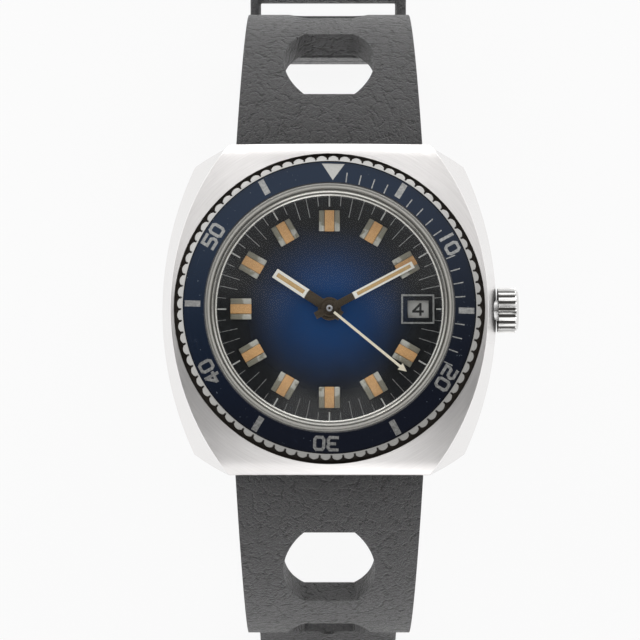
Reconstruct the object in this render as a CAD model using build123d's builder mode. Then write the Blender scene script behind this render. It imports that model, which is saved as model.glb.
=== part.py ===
from build123d import *

import os
from math import atan2, cos, degrees, radians, sin, sqrt

# Cushion case watch, in millimetres. +Z points out of the crystal, +Y to twelve o'clock and +X to the
# crown. The origin is the middle of the outer face of the case back, on the axis of the hands.

os.makedirs("parts", exist_ok=True)

# Fits
press_gap = 0.02
turning_gap = 0.05
bezel_fit = 0.08
loose_gap = 0.3
overrun = 1.0

# Radii, stacked outwards from the movement
movement_radius = 12.8
movement_ring_wall = 0.55
dial_lip = 0.35
tension_ring_width = 1.03
crystal_skirt = 0.25
neck_wall = 0.5
insert_gap = 0.13
insert_width = 2.42
bezel_rim = 0.7
bezel_gap = 0.4
case_side_wall = 1.57
case_end_wall = 1.3

dial_radius = movement_radius + turning_gap + movement_ring_wall
dial_view_radius = dial_radius - dial_lip
tension_ring_radius = dial_view_radius + tension_ring_width
crystal_radius = tension_ring_radius + press_gap + crystal_skirt
neck_bore = crystal_radius + press_gap
neck_radius = neck_bore + neck_wall
bezel_bore = neck_radius + bezel_fit
insert_bore = crystal_radius + insert_gap
insert_radius = insert_bore + insert_width
bezel_radius = insert_radius + bezel_rim
opening_radius = bezel_radius + bezel_gap
case_half_width = opening_radius + case_side_wall
case_half_length = opening_radius + case_end_wall

# Heights, stacked upwards from the case back
back_thickness = 1.2
back_rim_height = 1.5
back_thread_height = 1.15
rotor_clearance = 0.25
rotor_height = 0.9
rotor_lift = 0.15
bridge_thickness = 0.55
wheel_thickness = 0.2
wheel_gap = 0.13
barrel_height = 1.05
plate_thickness = 0.7
motion_height = 0.9
dial_thickness = 0.4
rehaut_height = 1.6
neck_height = 1.4
seat_height = 1.0
crest_height = 0.6
bezel_lift = 0.06
bezel_height = 2.0
insert_thickness = 0.45
insert_fall = 0.12
rim_proud = 0.08

rotor_z = back_thickness + rotor_clearance
bridge_z = rotor_z + rotor_height + rotor_lift
bridge_top_z = bridge_z + bridge_thickness
seconds_wheel_z = bridge_top_z + wheel_gap
third_wheel_z = seconds_wheel_z + wheel_thickness + wheel_gap
centre_wheel_z = third_wheel_z + wheel_thickness + wheel_gap
barrel_z = centre_wheel_z + wheel_thickness + wheel_gap
plate_z = barrel_z + barrel_height + wheel_gap
plate_top_z = plate_z + plate_thickness
dial_z = plate_top_z + motion_height
dial_top_z = dial_z + dial_thickness
crystal_seat_z = dial_top_z + rehaut_height
neck_top_z = crystal_seat_z + neck_height
bezel_seat_z = dial_top_z + seat_height
crest_z = bezel_seat_z + crest_height
bezel_z = bezel_seat_z + bezel_lift
insert_z = bezel_z + bezel_height
insert_top_z = insert_z + insert_thickness
rim_top_z = insert_top_z + rim_proud

# Bezel
bezel_scallops = 80
bezel_turn = -1.5
scallop_depth = 0.55
rim_chamfer = 0.5
rim_chamfer_height = 0.75
scallop_shares = ((-0.5, 0), (-0.22, 1), (0.22, 1))
snap_ring_size = 0.34
snap_ring_height = 0.75
snap_ring_opening = 24.0
snap_depth = 0.26
click_width = 1.1
click_thickness = 0.15
click_inset = 0.35

scallop_pitch = 360 / bezel_scallops
valley_radius = bezel_radius - scallop_depth
snap_z = bezel_z + snap_ring_height
snap_inner = neck_radius - snap_depth
snap_outer = bezel_bore + snap_depth
click_inner = bezel_bore + click_inset
click_outer = click_inner + click_width

# Case form. The widest line runs round the flanks, and the brushed top ends at the facet line.
widest_below_crest = 4.0
facet_below_crest = 0.6
end_land = 0.4
top_slope_share = 0.28
corner_width_share = 0.807
corner_length_share = 0.873
corner_bulge = 0.08
facet_side_margin = 0.5
facet_end_inset = 1.2
facet_end_widening = 1.0
under_inset_share = 0.22
flank_split_shares = (0.2, 0.8)
facet_split_shares = (0.12, 0.28, 0.72, 0.88)

widest_z = crest_z - widest_below_crest
facet_z = crest_z - facet_below_crest

# Strap
strap_width = 22.0
strap_waist_narrowing = 2.2
strap_end_narrowing = 4.0
strap_thickness = 3.3
strap_side_gap = 0.08
strap_edge_height = 4.0
strap_edge_tilt = 6.8
strap_bend_radius = 21.7
strap_bar_tilt = 1.0
strap_hole_length = 10.6
strap_hole_width = 10.9
strap_hole_flat = 6.0
strap_hole_first = 11.4
strap_hole_pitch = 15.5
strap_hole_narrowing = 0.9

strap_waist_width = strap_width - strap_waist_narrowing
strap_end_width = strap_width - strap_end_narrowing

buckle_lean = 8.0
buckle_straight = 16.0
buckle_turn_radius = 60.0
buckle_turn = 4.0
buckle_end_straight = 17.2
tail_turn_radius = 16.0
tail_turn = 90.0
tail_flat = 23.4
tail_tip_radius = 7.0
adjust_hole_first = 56.0
adjust_hole_pitch = 6.5
adjust_hole_count = 7
adjust_hole_length = 3.0
adjust_hole_width = 2.4

# Spring bars and their slots under the ends of the case
spring_bar_radius = 0.9
spring_bar_tip_radius = 0.45
spring_bar_tip_length = 0.9
slot_gap = 0.3

# Crown and stem
crown_radius = 2.65
crown_length = 2.35
crown_gap = 0.15
crown_flutes = 20
crown_flute_radius = 0.32
crown_dome = 0.3
tube_radius = 1.25
tube_bore = 0.65
tube_reach = 1.1
tube_depth = 2.2
stem_radius = 0.5
stem_depth = 3.8
gasket_thickness = 0.35

stem_inner_x = movement_radius - stem_depth

# Case back
back_bore_gap = 0.4
back_thread_wall = 0.9
back_flange = 0.7
back_slope = 2.6
back_notches = 6
back_notch_radius = 0.9
back_gasket_width = 0.45
back_gasket_height = 0.3

back_inner_radius = movement_radius + back_bore_gap
back_thread_radius = back_inner_radius + back_thread_wall
back_radius = back_thread_radius + back_flange
back_face_radius = back_radius - back_slope

# Movement
movement_wall = 0.5
pivot_radius = 0.2
seconds_arbor_radius = 0.2
cannon_wall = 0.3
hour_tube_wall = 0.33
dial_hole_gap = 0.1
tooth_tip_share = 0.9
tooth_root_share = 1.15
third_distance_share = 0.391
third_direction = 100.0
escape_distance_share = 0.406
escape_direction = 175.0
barrel_distance_share = 0.5
barrel_direction = -75.0
minute_wheel_distance_share = 0.281
minute_wheel_direction = 40.0
balance_distance_share = 0.648
balance_direction = 225.0
balance_radius_share = 0.25
balance_rim = 0.45
fork_share = 0.43
centre_teeth, third_leaves = 48, 6
third_teeth, seconds_leaves = 45, 6
seconds_teeth, escape_leaves = 72, 6
barrel_teeth, centre_leaves = 56, 8
cannon_leaves, minute_teeth = 12, 36
minute_leaves, hour_teeth = 10, 40
escape_teeth = 15
escape_radius_share = 0.148
date_disc_width = 3.7
date_disc_inset = 0.5
date_disc_thickness = 0.3
date_teeth = 31

third_distance = movement_radius * third_distance_share
escape_distance = movement_radius * escape_distance_share
barrel_distance = movement_radius * barrel_distance_share
minute_wheel_distance = movement_radius * minute_wheel_distance_share
balance_distance = movement_radius * balance_distance_share
balance_radius = movement_radius * balance_radius_share
escape_radius = movement_radius * escape_radius_share
date_disc_outer = movement_radius - date_disc_inset
date_disc_inner = date_disc_outer - date_disc_width

# Dial furniture
marker_inset = 2.75
marker_size = 2.45
marker_height = 0.45
marker_lume_width = 1.1
marker_lume_proud = 0.05
date_frame_length = 3.84
date_frame_width = 3.43
date_frame_line = 0.2
date_frame_height = 0.12
date_frame_inset = 2.76
date_window_length = 2.45
date_window_width = 2.04
date_window_inset = 2.72

marker_distance = dial_view_radius - marker_inset
date_frame_distance = dial_view_radius - date_frame_inset
date_window_distance = dial_view_radius - date_window_inset

# Hands, with the time that they show as degrees clockwise from twelve
hour_time = 303.3
minute_time = 62.2
seconds_time = 129.4
hour_lift = 0.5
hand_thickness = 0.16
hand_spacing = 0.4
hour_inset, hour_tail, hour_width = 5.45, 1.6, 1.18
minute_inset, minute_tail, minute_width = 2.05, 1.85, 0.84
seconds_inset, seconds_width = 1.45, 0.3
hour_stem_length, minute_stem_length = 3.2, 3.3
hour_lume_width, minute_lume_width = 0.49, 0.4
lume_margin = 0.35
lume_proud = 0.03
hour_hub_radius, minute_hub_radius, seconds_hub_radius = 1.35, 0.95, 0.62
seconds_head_length, seconds_head_width = 1.0, 0.95
seconds_pipe_height = 0.25

hour_length = dial_view_radius - hour_inset
minute_length = dial_view_radius - minute_inset
seconds_length = dial_view_radius - seconds_inset

# Keepers and buckle
keeper_wall = 1.2
keeper_length = 5.0
keeper_spare = 0.35
keeper_gap = 0.12
floating_keeper_apart = 0.6
fixed_keeper_back = 4.6
buckle_bar_radius = 0.75
buckle_side = 2.1
buckle_side_gap = 0.25
buckle_reach = 10.8
buckle_front = 2.4
buckle_back = 1.7
buckle_thickness = 2.2
buckle_corner_radius = 2.4
buckle_inner_corner_radius = 1.2
tongue_width = 2.0
tongue_thickness = 0.9
tongue_ring_wall = 0.7
tongue_slot_width = 3.0
tongue_inset = 0.2
buckle_bar_inset = 0.5


def on_circle(radius, angle):
    """The point at an angle in degrees, counterclockwise from +X."""
    return (radius * cos(radians(angle)), radius * sin(radians(angle)))


def finish(piece, name):
    """Labels a finished piece and writes its file."""
    piece.part.label = name
    export_step(piece.part, "parts/" + name + ".step")


def revolved(*points):
    """Turns a closed profile of radius and height points about the axis of the hands."""
    with BuildPart() as turned:
        with BuildSketch(Plane.XZ):
            with BuildLine():
                Polyline(*points, close=True)
            make_face()
        revolve(axis=Axis.Z)
    return turned.part


def ring(inner, outer, bottom, top):
    """A plain ring about the axis of the hands."""
    return revolved((inner, bottom), (outer, bottom), (outer, top), (inner, top))


# Mid-case. Three outlines of the same eight stretches give the undercut, the widest line and the facets.
corner_x = case_half_width * corner_width_share
corner_y = case_half_length * corner_length_share
end_x = strap_width / 2
facet_end_x = end_x + facet_end_widening
facet_end_y = case_half_length - facet_end_inset
facet_side_x = opening_radius + facet_side_margin
corner_middle = ((end_x + corner_x) / 2 + corner_bulge, (case_half_length + corner_y) / 2 + corner_bulge)

flank_line = ThreePointArc((corner_x, -corner_y), (case_half_width, 0), (corner_x, corner_y))
lower_corner_line = ThreePointArc(
    (end_x, -case_half_length), (corner_middle[0], -corner_middle[1]), flank_line @ 0,
)
upper_corner_line = ThreePointArc(flank_line @ 1, corner_middle, (end_x, case_half_length))
facet_line = ThreePointArc((facet_end_x, -facet_end_y), (facet_side_x, 0), (facet_end_x, facet_end_y))
stretches = [
    (lower_corner_line, 0, 1, 0, facet_split_shares[0]),
    (flank_line, 0, flank_split_shares[0], facet_split_shares[0], facet_split_shares[1]),
    (flank_line, flank_split_shares[0], flank_split_shares[1], facet_split_shares[1], facet_split_shares[2]),
    (flank_line, flank_split_shares[1], 1, facet_split_shares[2], facet_split_shares[3]),
    (upper_corner_line, 0, 1, facet_split_shares[3], 1),
]


def case_outline(height, share):
    """The case's outline, from the widest line at share 0 to the facet line at share 1 and on inwards."""
    with BuildSketch(Plane.XY.offset(height)) as outline:
        with BuildLine():
            for line, start, end, facet_start, facet_end in stretches:
                points = []
                for part in (0, 1 / 2, 1):
                    wide = line @ (start + (end - start) * part)
                    narrow = facet_line @ (facet_start + (facet_end - facet_start) * part)
                    points.append(wide + (narrow - wide) * share)
                ThreePointArc(*points)
            mirror(about=Plane.YZ)
            low, high = points[0], points[-1]
            Line((-high.X, high.Y), (high.X, high.Y))
            Line((-high.X, -high.Y), (high.X, -high.Y))
        make_face()
    return outline.sketch


rise_share = (crest_z + overrun - widest_z) / (facet_z - widest_z)
crest_drop = case_half_length * 2 * top_slope_share
bar_radius_of_bend = strap_bend_radius - strap_thickness / 2
bend_y = case_half_length - strap_bend_radius * sin(radians(strap_edge_tilt))
bend_z = strap_edge_height - strap_bend_radius * cos(radians(strap_edge_tilt))
bar_y = bend_y + bar_radius_of_bend * sin(radians(strap_bar_tilt))
bar_z = bend_z + bar_radius_of_bend * cos(radians(strap_bar_tilt))
slot_depth_y = bar_y - strap_thickness / 2 - slot_gap
slot_roof_z = widest_z - end_land
slot_half_width = strap_width / 2 + strap_side_gap
thread_top_z = back_rim_height + back_thread_height
ring_bore = movement_radius + turning_gap
stem_z = widest_z

with BuildPart() as mid_case:
    add(case_outline(back_rim_height, under_inset_share))
    add(case_outline(widest_z, 0))
    loft(ruled=True)
    add(case_outline(widest_z, 0))
    add(case_outline(crest_z + overrun, rise_share))
    loft(ruled=True)
    with BuildSketch(Plane.XZ):
        with BuildLine():
            Polyline(
                (0, back_rim_height - overrun), (case_half_length * 2, back_rim_height - overrun),
                (case_half_length * 2, crest_z - crest_drop + opening_radius * top_slope_share),
                (opening_radius, crest_z), (0, crest_z), close=True,
            )
        make_face()
    revolve(axis=Axis.Z, mode=Mode.INTERSECT)
    with BuildSketch(Plane.XY.offset(bezel_seat_z)):
        Circle(opening_radius)
    extrude(amount=crest_height + overrun, mode=Mode.SUBTRACT)
    add(ring(0, neck_radius, bezel_seat_z - seat_height / 2, neck_top_z))
    # Stepped bore: case back thread, movement, dial lip and crystal seat
    add(
        revolved(
            (0, back_rim_height - overrun), (back_thread_radius + turning_gap, back_rim_height - overrun),
            (back_thread_radius + turning_gap, thread_top_z + turning_gap),
            (dial_radius + turning_gap, thread_top_z + turning_gap),
            (dial_radius + turning_gap, dial_top_z),
            (dial_view_radius, dial_top_z), (dial_view_radius, crystal_seat_z), (neck_bore, crystal_seat_z),
            (neck_bore, neck_top_z + overrun), (0, neck_top_z + overrun),
        ),
        mode=Mode.SUBTRACT,
    )
    add(
        ring(snap_inner, neck_radius + bezel_fit, snap_z, snap_z + snap_ring_size + turning_gap),
        mode=Mode.SUBTRACT,
    )
    # Strap slots with the spring bar holes in their side walls
    for side in (1, -1):
        with Locations((0, side * (slot_depth_y + case_half_length / 2), slot_roof_z - crest_z / 2)):
            Box(2 * slot_half_width, case_half_length, crest_z, mode=Mode.SUBTRACT)
    with BuildSketch(Plane.YZ):
        with Locations((bar_y, bar_z), (-bar_y, bar_z)):
            Circle(spring_bar_tip_radius + turning_gap)
    extrude(amount=slot_half_width + spring_bar_tip_length + turning_gap, both=True, mode=Mode.SUBTRACT)
    # Crown tube hole
    with BuildSketch(Plane.YZ.offset(dial_view_radius - overrun)):
        with Locations((0, stem_z)):
            Circle(tube_radius)
    extrude(amount=case_half_width, mode=Mode.SUBTRACT)
finish(mid_case, "mid_case")

# Case back with key notches, and its gasket in the corner under the thread
gasket_outer = back_thread_radius + back_gasket_width
with BuildPart() as case_back:
    add(
        revolved(
            (0, 0), (back_face_radius, 0), (back_radius, back_rim_height / 2),
            (back_radius, back_rim_height),
            (gasket_outer, back_rim_height), (gasket_outer, back_rim_height - back_gasket_height),
            (back_thread_radius, back_rim_height - back_gasket_height), (back_thread_radius, thread_top_z),
            (back_inner_radius, thread_top_z), (back_inner_radius, back_thickness), (0, back_thickness),
        )
    )
    with BuildSketch():
        with PolarLocations(back_radius - back_notch_radius / 2, back_notches):
            Circle(back_notch_radius)
    extrude(amount=back_rim_height / 2, mode=Mode.SUBTRACT)
finish(case_back, "case_back")

with BuildPart() as case_back_gasket:
    add(
        ring(
            back_thread_radius + press_gap, gasket_outer - press_gap, back_rim_height - back_gasket_height,
            back_rim_height,
        ),
    )
finish(case_back_gasket, "case_back_gasket")

# Bezel: a rim of half-round scallops under a turned chamfer, on a wire snap ring
with BuildPart() as bezel_ring:
    with BuildSketch(Plane.XY.offset(bezel_z)):
        with BuildLine():
            Polyline(
                *(
                    on_circle(
                        valley_radius + depth_share * scallop_depth,
                        90 + bezel_turn + (step + share) * scallop_pitch,
                    )
                    for step in range(bezel_scallops)
                    for share, depth_share in scallop_shares
                ),
                close=True,
            )
        make_face()
    extrude(amount=rim_top_z - bezel_z)
    add(
        revolved(
            (bezel_bore, bezel_z), (bezel_radius + overrun, bezel_z),
            (bezel_radius + overrun, rim_top_z - rim_chamfer_height),
            (bezel_radius, rim_top_z - rim_chamfer_height), (bezel_radius - rim_chamfer, rim_top_z),
            (insert_radius, rim_top_z), (insert_radius, insert_z), (bezel_bore, insert_z),
        ),
        mode=Mode.INTERSECT,
    )
    add(
        ring(bezel_bore - overrun, snap_outer + turning_gap, snap_z, snap_z + snap_ring_size + turning_gap),
        mode=Mode.SUBTRACT,
    )
    click_roof_z = bezel_z + click_thickness
    add(
        ring(click_inner - turning_gap, click_outer + turning_gap, bezel_z - overrun, click_roof_z),
        mode=Mode.SUBTRACT,
    )
finish(bezel_ring, "bezel_ring")

with BuildPart() as bezel_insert:
    add(
        revolved(
            (insert_bore, insert_z), (insert_radius - press_gap, insert_z),
            (insert_radius - press_gap, insert_top_z - insert_fall), (insert_bore, insert_top_z),
        )
    )
finish(bezel_insert, "bezel_insert")

with BuildPart() as bezel_snap_ring:
    with BuildSketch(Plane.XY.offset(snap_z + turning_gap / 2)):
        Circle(snap_outer)
        Circle(snap_inner + turning_gap, mode=Mode.SUBTRACT)
        with BuildLine():
            tip = snap_outer + overrun
            Polyline(
                (0, 0), on_circle(tip, -90 - snap_ring_opening / 2), (0, -2 * tip),
                on_circle(tip, -90 + snap_ring_opening / 2), close=True,
            )
        make_face(mode=Mode.SUBTRACT)
    extrude(amount=snap_ring_size)
finish(bezel_snap_ring, "bezel_snap_ring")

with BuildPart() as bezel_click_spring:
    add(ring(click_inner, click_outer, bezel_seat_z, bezel_seat_z + click_thickness))
finish(bezel_click_spring, "bezel_click_spring")

# Domed crystal over a stepped tension ring
dome_rise = 2.0
crystal_thickness = 1.45
crystal_shoulder = 0.6
ring_height = 1.05
ring_step = 0.3
ring_lip_height = 0.3
dome_shares = (0, 0.2, 0.45, 0.72, 1)

shoulder_z = neck_top_z + crystal_shoulder
apex_z = shoulder_z + dome_rise
ring_top_z = crystal_seat_z + ring_height
inner_apex_z = apex_z - crystal_thickness
inner_rise = inner_apex_z - ring_top_z - press_gap


def dome(edge_radius, edge_z, rise):
    """Points up a spherical dome from its edge to its middle, a few chords long."""
    sphere_radius = (edge_radius**2 + rise**2) / (2 * rise)
    radii = [edge_radius * (1 - share) for share in dome_shares]
    return [(radius, edge_z + rise - sphere_radius + sqrt(sphere_radius**2 - radius**2)) for radius in radii]


with BuildPart() as crystal:
    add(
        revolved(
            *dome(crystal_radius, shoulder_z, dome_rise),
            *reversed(dome(dial_view_radius, ring_top_z + press_gap, inner_rise)),
            (tension_ring_radius + press_gap, ring_top_z + press_gap),
            (tension_ring_radius + press_gap, crystal_seat_z), (crystal_radius, crystal_seat_z),
        )
    )
finish(crystal, "crystal")

with BuildPart() as tension_ring:
    add(
        revolved(
            (dial_view_radius, crystal_seat_z), (tension_ring_radius, crystal_seat_z),
            (tension_ring_radius, ring_top_z),
            (tension_ring_radius - ring_step, ring_top_z),
            (tension_ring_radius - ring_step, ring_top_z - ring_step / 2),
            (tension_ring_radius - 2 * ring_step, ring_top_z - ring_step / 2),
            (dial_view_radius, crystal_seat_z + ring_lip_height),
        )
    )
finish(tension_ring, "tension_ring")

# Dial with its centre hole and date window
cannon_radius = seconds_arbor_radius + turning_gap + cannon_wall
hour_tube_bore = cannon_radius + turning_gap
hour_tube_radius = hour_tube_bore + hour_tube_wall

with BuildPart() as dial:
    with BuildSketch(Plane.XY.offset(dial_z)):
        Circle(dial_radius)
        Circle(hour_tube_radius + dial_hole_gap, mode=Mode.SUBTRACT)
        with Locations((date_window_distance, 0)):
            Rectangle(date_window_length, date_window_width, mode=Mode.SUBTRACT)
    extrude(amount=dial_thickness)
finish(dial, "dial")

# Applied hour markers, each a square block with a lume stripe along its radius, and none at the date
marker_hours = [hour for hour in range(12) if hour != 3]
with BuildPart() as marker_lume:
    for hour in marker_hours:
        angle = 90 - 30 * hour
        with BuildSketch(
            Plane(origin=(*on_circle(marker_distance, angle), dial_top_z), x_dir=(*on_circle(1, angle), 0)),
        ):
            Rectangle(marker_size, marker_lume_width)
        extrude(amount=marker_height + marker_lume_proud)
with BuildPart() as hour_markers:
    for hour in marker_hours:
        angle = 90 - 30 * hour
        with BuildSketch(
            Plane(origin=(*on_circle(marker_distance, angle), dial_top_z), x_dir=(*on_circle(1, angle), 0)),
        ):
            Rectangle(marker_size, marker_size)
            Rectangle(marker_size, marker_lume_width, mode=Mode.SUBTRACT)
        extrude(amount=marker_height)
finish(hour_markers, "hour_markers")
finish(marker_lume, "marker_lume")

with BuildPart() as date_frame:
    with BuildSketch(Plane.XY.offset(dial_top_z)):
        with Locations((date_frame_distance, 0)):
            Rectangle(date_frame_length, date_frame_width)
            Rectangle(
                date_frame_length - 2 * date_frame_line, date_frame_width - 2 * date_frame_line,
                mode=Mode.SUBTRACT,
            )
    extrude(amount=date_frame_height)
finish(date_frame, "date_frame")


def gear_outline(place, height, teeth, pitch_radius, phase, bore=0):
    """A toothed outline with pointed teeth, the first of them at the phase angle, and any bore."""
    module = 2 * pitch_radius / teeth
    points = []
    for tooth in range(teeth):
        angle = phase + tooth * 360 / teeth
        points.append(on_circle(pitch_radius + tooth_tip_share * module, angle))
        points.append(on_circle(pitch_radius - tooth_root_share * module, angle + 180 / teeth))
    with BuildSketch(Plane(origin=(*place, height))) as outline:
        with BuildLine():
            Polyline(*points, close=True)
        make_face()
        if bore:
            Circle(bore, mode=Mode.SUBTRACT)
    return outline.sketch


def meshing_phase(teeth, mate_teeth, mate_phase, direction):
    """The phase that puts a gap of a wheel at the tooth of its mate, seen along the line of centres."""
    mate_share = ((direction - mate_phase) * mate_teeth / 360) % 1
    return direction + 180 - (1 / 2 - mate_share) * 360 / teeth


def mesh_radius(distance, teeth, mate_teeth):
    """The pitch radius of a wheel, from its distance to its mate and both tooth counts."""
    return distance * teeth / (teeth + mate_teeth)


# Date disc under the dial, toothed inside
date_disc_z = dial_z - wheel_gap - date_disc_thickness
with BuildPart() as date_disc:
    with BuildSketch(Plane.XY.offset(date_disc_z)):
        Circle(date_disc_outer)
        gear_points = []
        for tooth in range(date_teeth):
            angle = tooth * 360 / date_teeth
            gear_points.append(on_circle(date_disc_inner, angle))
            gear_points.append(
                on_circle(date_disc_inner + 2 * date_disc_thickness, angle + 90 / date_teeth),
            )
            gear_points.append(
                on_circle(date_disc_inner + 2 * date_disc_thickness, angle + 270 / date_teeth),
            )
        with BuildLine():
            Polyline(*gear_points, close=True)
        make_face(mode=Mode.SUBTRACT)
    extrude(amount=date_disc_thickness)
finish(date_disc, "date_disc")

# Main plate: a disc with a rim, bored for every arbor
third_place = on_circle(third_distance, third_direction)
escape_place = on_circle(escape_distance, escape_direction)
barrel_place = on_circle(barrel_distance, barrel_direction)
minute_wheel_place = on_circle(minute_wheel_distance, minute_wheel_direction)
balance_place = on_circle(balance_distance, balance_direction)
fork_place = tuple(near + (far - near) * fork_share for near, far in zip(escape_place, balance_place))
arbor_places = [third_place, escape_place, barrel_place, balance_place, fork_place]
stem_hole_radius = stem_radius + turning_gap

with BuildPart() as main_plate:
    add(
        revolved(
            (0, plate_z), (movement_radius - movement_wall, plate_z),
            (movement_radius - movement_wall, bridge_top_z),
            (movement_radius, bridge_top_z), (movement_radius, plate_top_z), (0, plate_top_z),
        )
    )
    with BuildSketch(Plane.XY.offset(plate_z)):
        Circle(cannon_radius + turning_gap)
        with Locations(*arbor_places):
            Circle(pivot_radius + turning_gap)
    extrude(amount=plate_thickness, mode=Mode.SUBTRACT)
    with BuildSketch(Plane.YZ.offset(stem_inner_x)):
        with Locations((0, stem_z)):
            Circle(stem_hole_radius)
    extrude(amount=movement_radius, mode=Mode.SUBTRACT)
    # Post that carries the minute wheel
    with BuildSketch(Plane.XY.offset(plate_top_z)):
        with Locations(minute_wheel_place):
            Circle(pivot_radius)
    extrude(amount=motion_height - wheel_gap)
finish(main_plate, "main_plate")

with BuildPart() as movement_ring:
    add(ring(ring_bore, dial_radius, thread_top_z + turning_gap, dial_z))
    with BuildSketch(Plane.YZ.offset(stem_inner_x)):
        with Locations((0, stem_z)):
            Circle(stem_hole_radius)
    extrude(amount=movement_radius, mode=Mode.SUBTRACT)
finish(movement_ring, "movement_ring")

# Bridges on the rim of the plate. The balance has a cock of its own, in a notch of the train bridge.
balance_window_radius = balance_radius + loose_gap
cock_width = 2.2
rotor_post_radius = 0.8
balance_angle = degrees(atan2(balance_place[1], balance_place[0]))
cock_length = movement_radius - balance_distance


def cock_outline(width):
    """The balance cock's plan, from its round nose on the staff out to the rim."""
    with BuildSketch(Plane.XY.offset(bridge_z)) as outline:
        with Locations(balance_place):
            Circle(width / 2)
        with Locations(
            Location((*on_circle(balance_distance + cock_length / 2, balance_angle), 0), balance_angle),
        ):
            Rectangle(cock_length, width)
        Circle(movement_radius, mode=Mode.INTERSECT)
    return outline.sketch


with BuildPart() as balance_cock:
    add(cock_outline(cock_width))
    extrude(amount=bridge_thickness)
    with BuildSketch(Plane.XY.offset(bridge_z)):
        with Locations(balance_place):
            Circle(pivot_radius + turning_gap)
    extrude(amount=bridge_thickness, mode=Mode.SUBTRACT)
finish(balance_cock, "balance_cock")

with BuildPart() as train_bridge:
    with BuildSketch(Plane.XY.offset(bridge_z)):
        Circle(movement_radius)
        with Locations(balance_place):
            Circle(balance_window_radius, mode=Mode.SUBTRACT)
        with Locations((0, 0), *arbor_places[:3], fork_place):
            Circle(pivot_radius + turning_gap, mode=Mode.SUBTRACT)
    extrude(amount=bridge_thickness)
    add(cock_outline(cock_width + 2 * turning_gap))
    extrude(amount=bridge_thickness, mode=Mode.SUBTRACT)
finish(train_bridge, "train_bridge")

# Wheels of the train, each turned into mesh with the one before it
centre_pitch = mesh_radius(third_distance, centre_teeth, third_leaves)
third_pinion_pitch = mesh_radius(third_distance, third_leaves, centre_teeth)
third_pitch = mesh_radius(third_distance, third_teeth, seconds_leaves)
seconds_pinion_pitch = mesh_radius(third_distance, seconds_leaves, third_teeth)
seconds_pitch = mesh_radius(escape_distance, seconds_teeth, escape_leaves)
escape_pinion_pitch = mesh_radius(escape_distance, escape_leaves, seconds_teeth)
barrel_pitch = mesh_radius(barrel_distance, barrel_teeth, centre_leaves)
centre_pinion_pitch = mesh_radius(barrel_distance, centre_leaves, barrel_teeth)
cannon_pitch = mesh_radius(minute_wheel_distance, cannon_leaves, minute_teeth)
minute_wheel_pitch = mesh_radius(minute_wheel_distance, minute_teeth, cannon_leaves)
minute_pinion_pitch = mesh_radius(minute_wheel_distance, minute_leaves, hour_teeth)
hour_wheel_pitch = mesh_radius(minute_wheel_distance, hour_teeth, minute_leaves)

third_phase = meshing_phase(third_leaves, centre_teeth, 0, third_direction)
seconds_phase = meshing_phase(seconds_leaves, third_teeth, 0, third_direction + 180)
escape_phase = meshing_phase(escape_leaves, seconds_teeth, 0, escape_direction)
barrel_phase = meshing_phase(barrel_teeth, centre_leaves, 0, barrel_direction)
minute_wheel_phase = meshing_phase(minute_teeth, cannon_leaves, 0, minute_wheel_direction)
hour_phase = meshing_phase(hour_teeth, minute_leaves, 0, minute_wheel_direction + 180)

hour_hand_z = dial_top_z + hour_lift
minute_hand_z = hour_hand_z + hand_spacing
seconds_hand_z = minute_hand_z + hand_spacing
pinion_height = wheel_thickness + wheel_gap
barrel_pinion_height = barrel_height / 2
motion_z = plate_top_z + wheel_gap / 2
hour_wheel_z = motion_z + wheel_thickness + wheel_gap
barrel_drum_share = 0.93
arbor_foot_z = bridge_z + bridge_thickness / 4
arbor_head_z = plate_top_z - plate_thickness / 4
middle = (0, 0)
post_bore = pivot_radius + turning_gap

with BuildPart() as centre_wheel:
    add(gear_outline(middle, centre_wheel_z, centre_teeth, centre_pitch, 0))
    extrude(amount=wheel_thickness)
    add(gear_outline(middle, barrel_z, centre_leaves, centre_pinion_pitch, 0))
    extrude(amount=barrel_height)
    add(ring(0, cannon_radius, centre_wheel_z, motion_z))
    with BuildSketch(Plane.XY.offset(centre_wheel_z)):
        Circle(seconds_arbor_radius + turning_gap)
    extrude(amount=plate_top_z, mode=Mode.SUBTRACT)
finish(centre_wheel, "centre_wheel")

with BuildPart() as cannon_pinion:
    add(gear_outline(middle, motion_z, cannon_leaves, cannon_pitch, 0))
    extrude(amount=wheel_thickness)
    add(ring(0, cannon_radius, motion_z, minute_hand_z + hand_thickness))
    with BuildSketch(Plane.XY.offset(motion_z)):
        Circle(seconds_arbor_radius + turning_gap)
    extrude(amount=seconds_hand_z, mode=Mode.SUBTRACT)
finish(cannon_pinion, "cannon_pinion")

with BuildPart() as minute_wheel:
    add(
        gear_outline(
            minute_wheel_place, motion_z, minute_teeth, minute_wheel_pitch, minute_wheel_phase, post_bore,
        ),
    )
    extrude(amount=wheel_thickness)
    add(
        gear_outline(
            minute_wheel_place, motion_z + wheel_thickness, minute_leaves, minute_pinion_pitch, 0, post_bore,
        ),
    )
    extrude(amount=pinion_height)
finish(minute_wheel, "minute_wheel")

with BuildPart() as hour_wheel:
    add(gear_outline(middle, hour_wheel_z, hour_teeth, hour_wheel_pitch, hour_phase, hour_tube_bore))
    extrude(amount=wheel_thickness)
    add(ring(hour_tube_bore, hour_tube_radius, hour_wheel_z, hour_hand_z + hand_thickness))
finish(hour_wheel, "hour_wheel")

with BuildPart() as third_wheel:
    add(gear_outline(third_place, third_wheel_z, third_teeth, third_pitch, 0))
    extrude(amount=wheel_thickness)
    add(
        gear_outline(
            third_place, third_wheel_z + wheel_thickness, third_leaves, third_pinion_pitch, third_phase,
        ),
    )
    extrude(amount=wheel_gap + wheel_thickness)
    with BuildSketch(Plane(origin=(*third_place, arbor_foot_z))):
        Circle(pivot_radius)
    extrude(amount=arbor_head_z - arbor_foot_z)
finish(third_wheel, "third_wheel")

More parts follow.
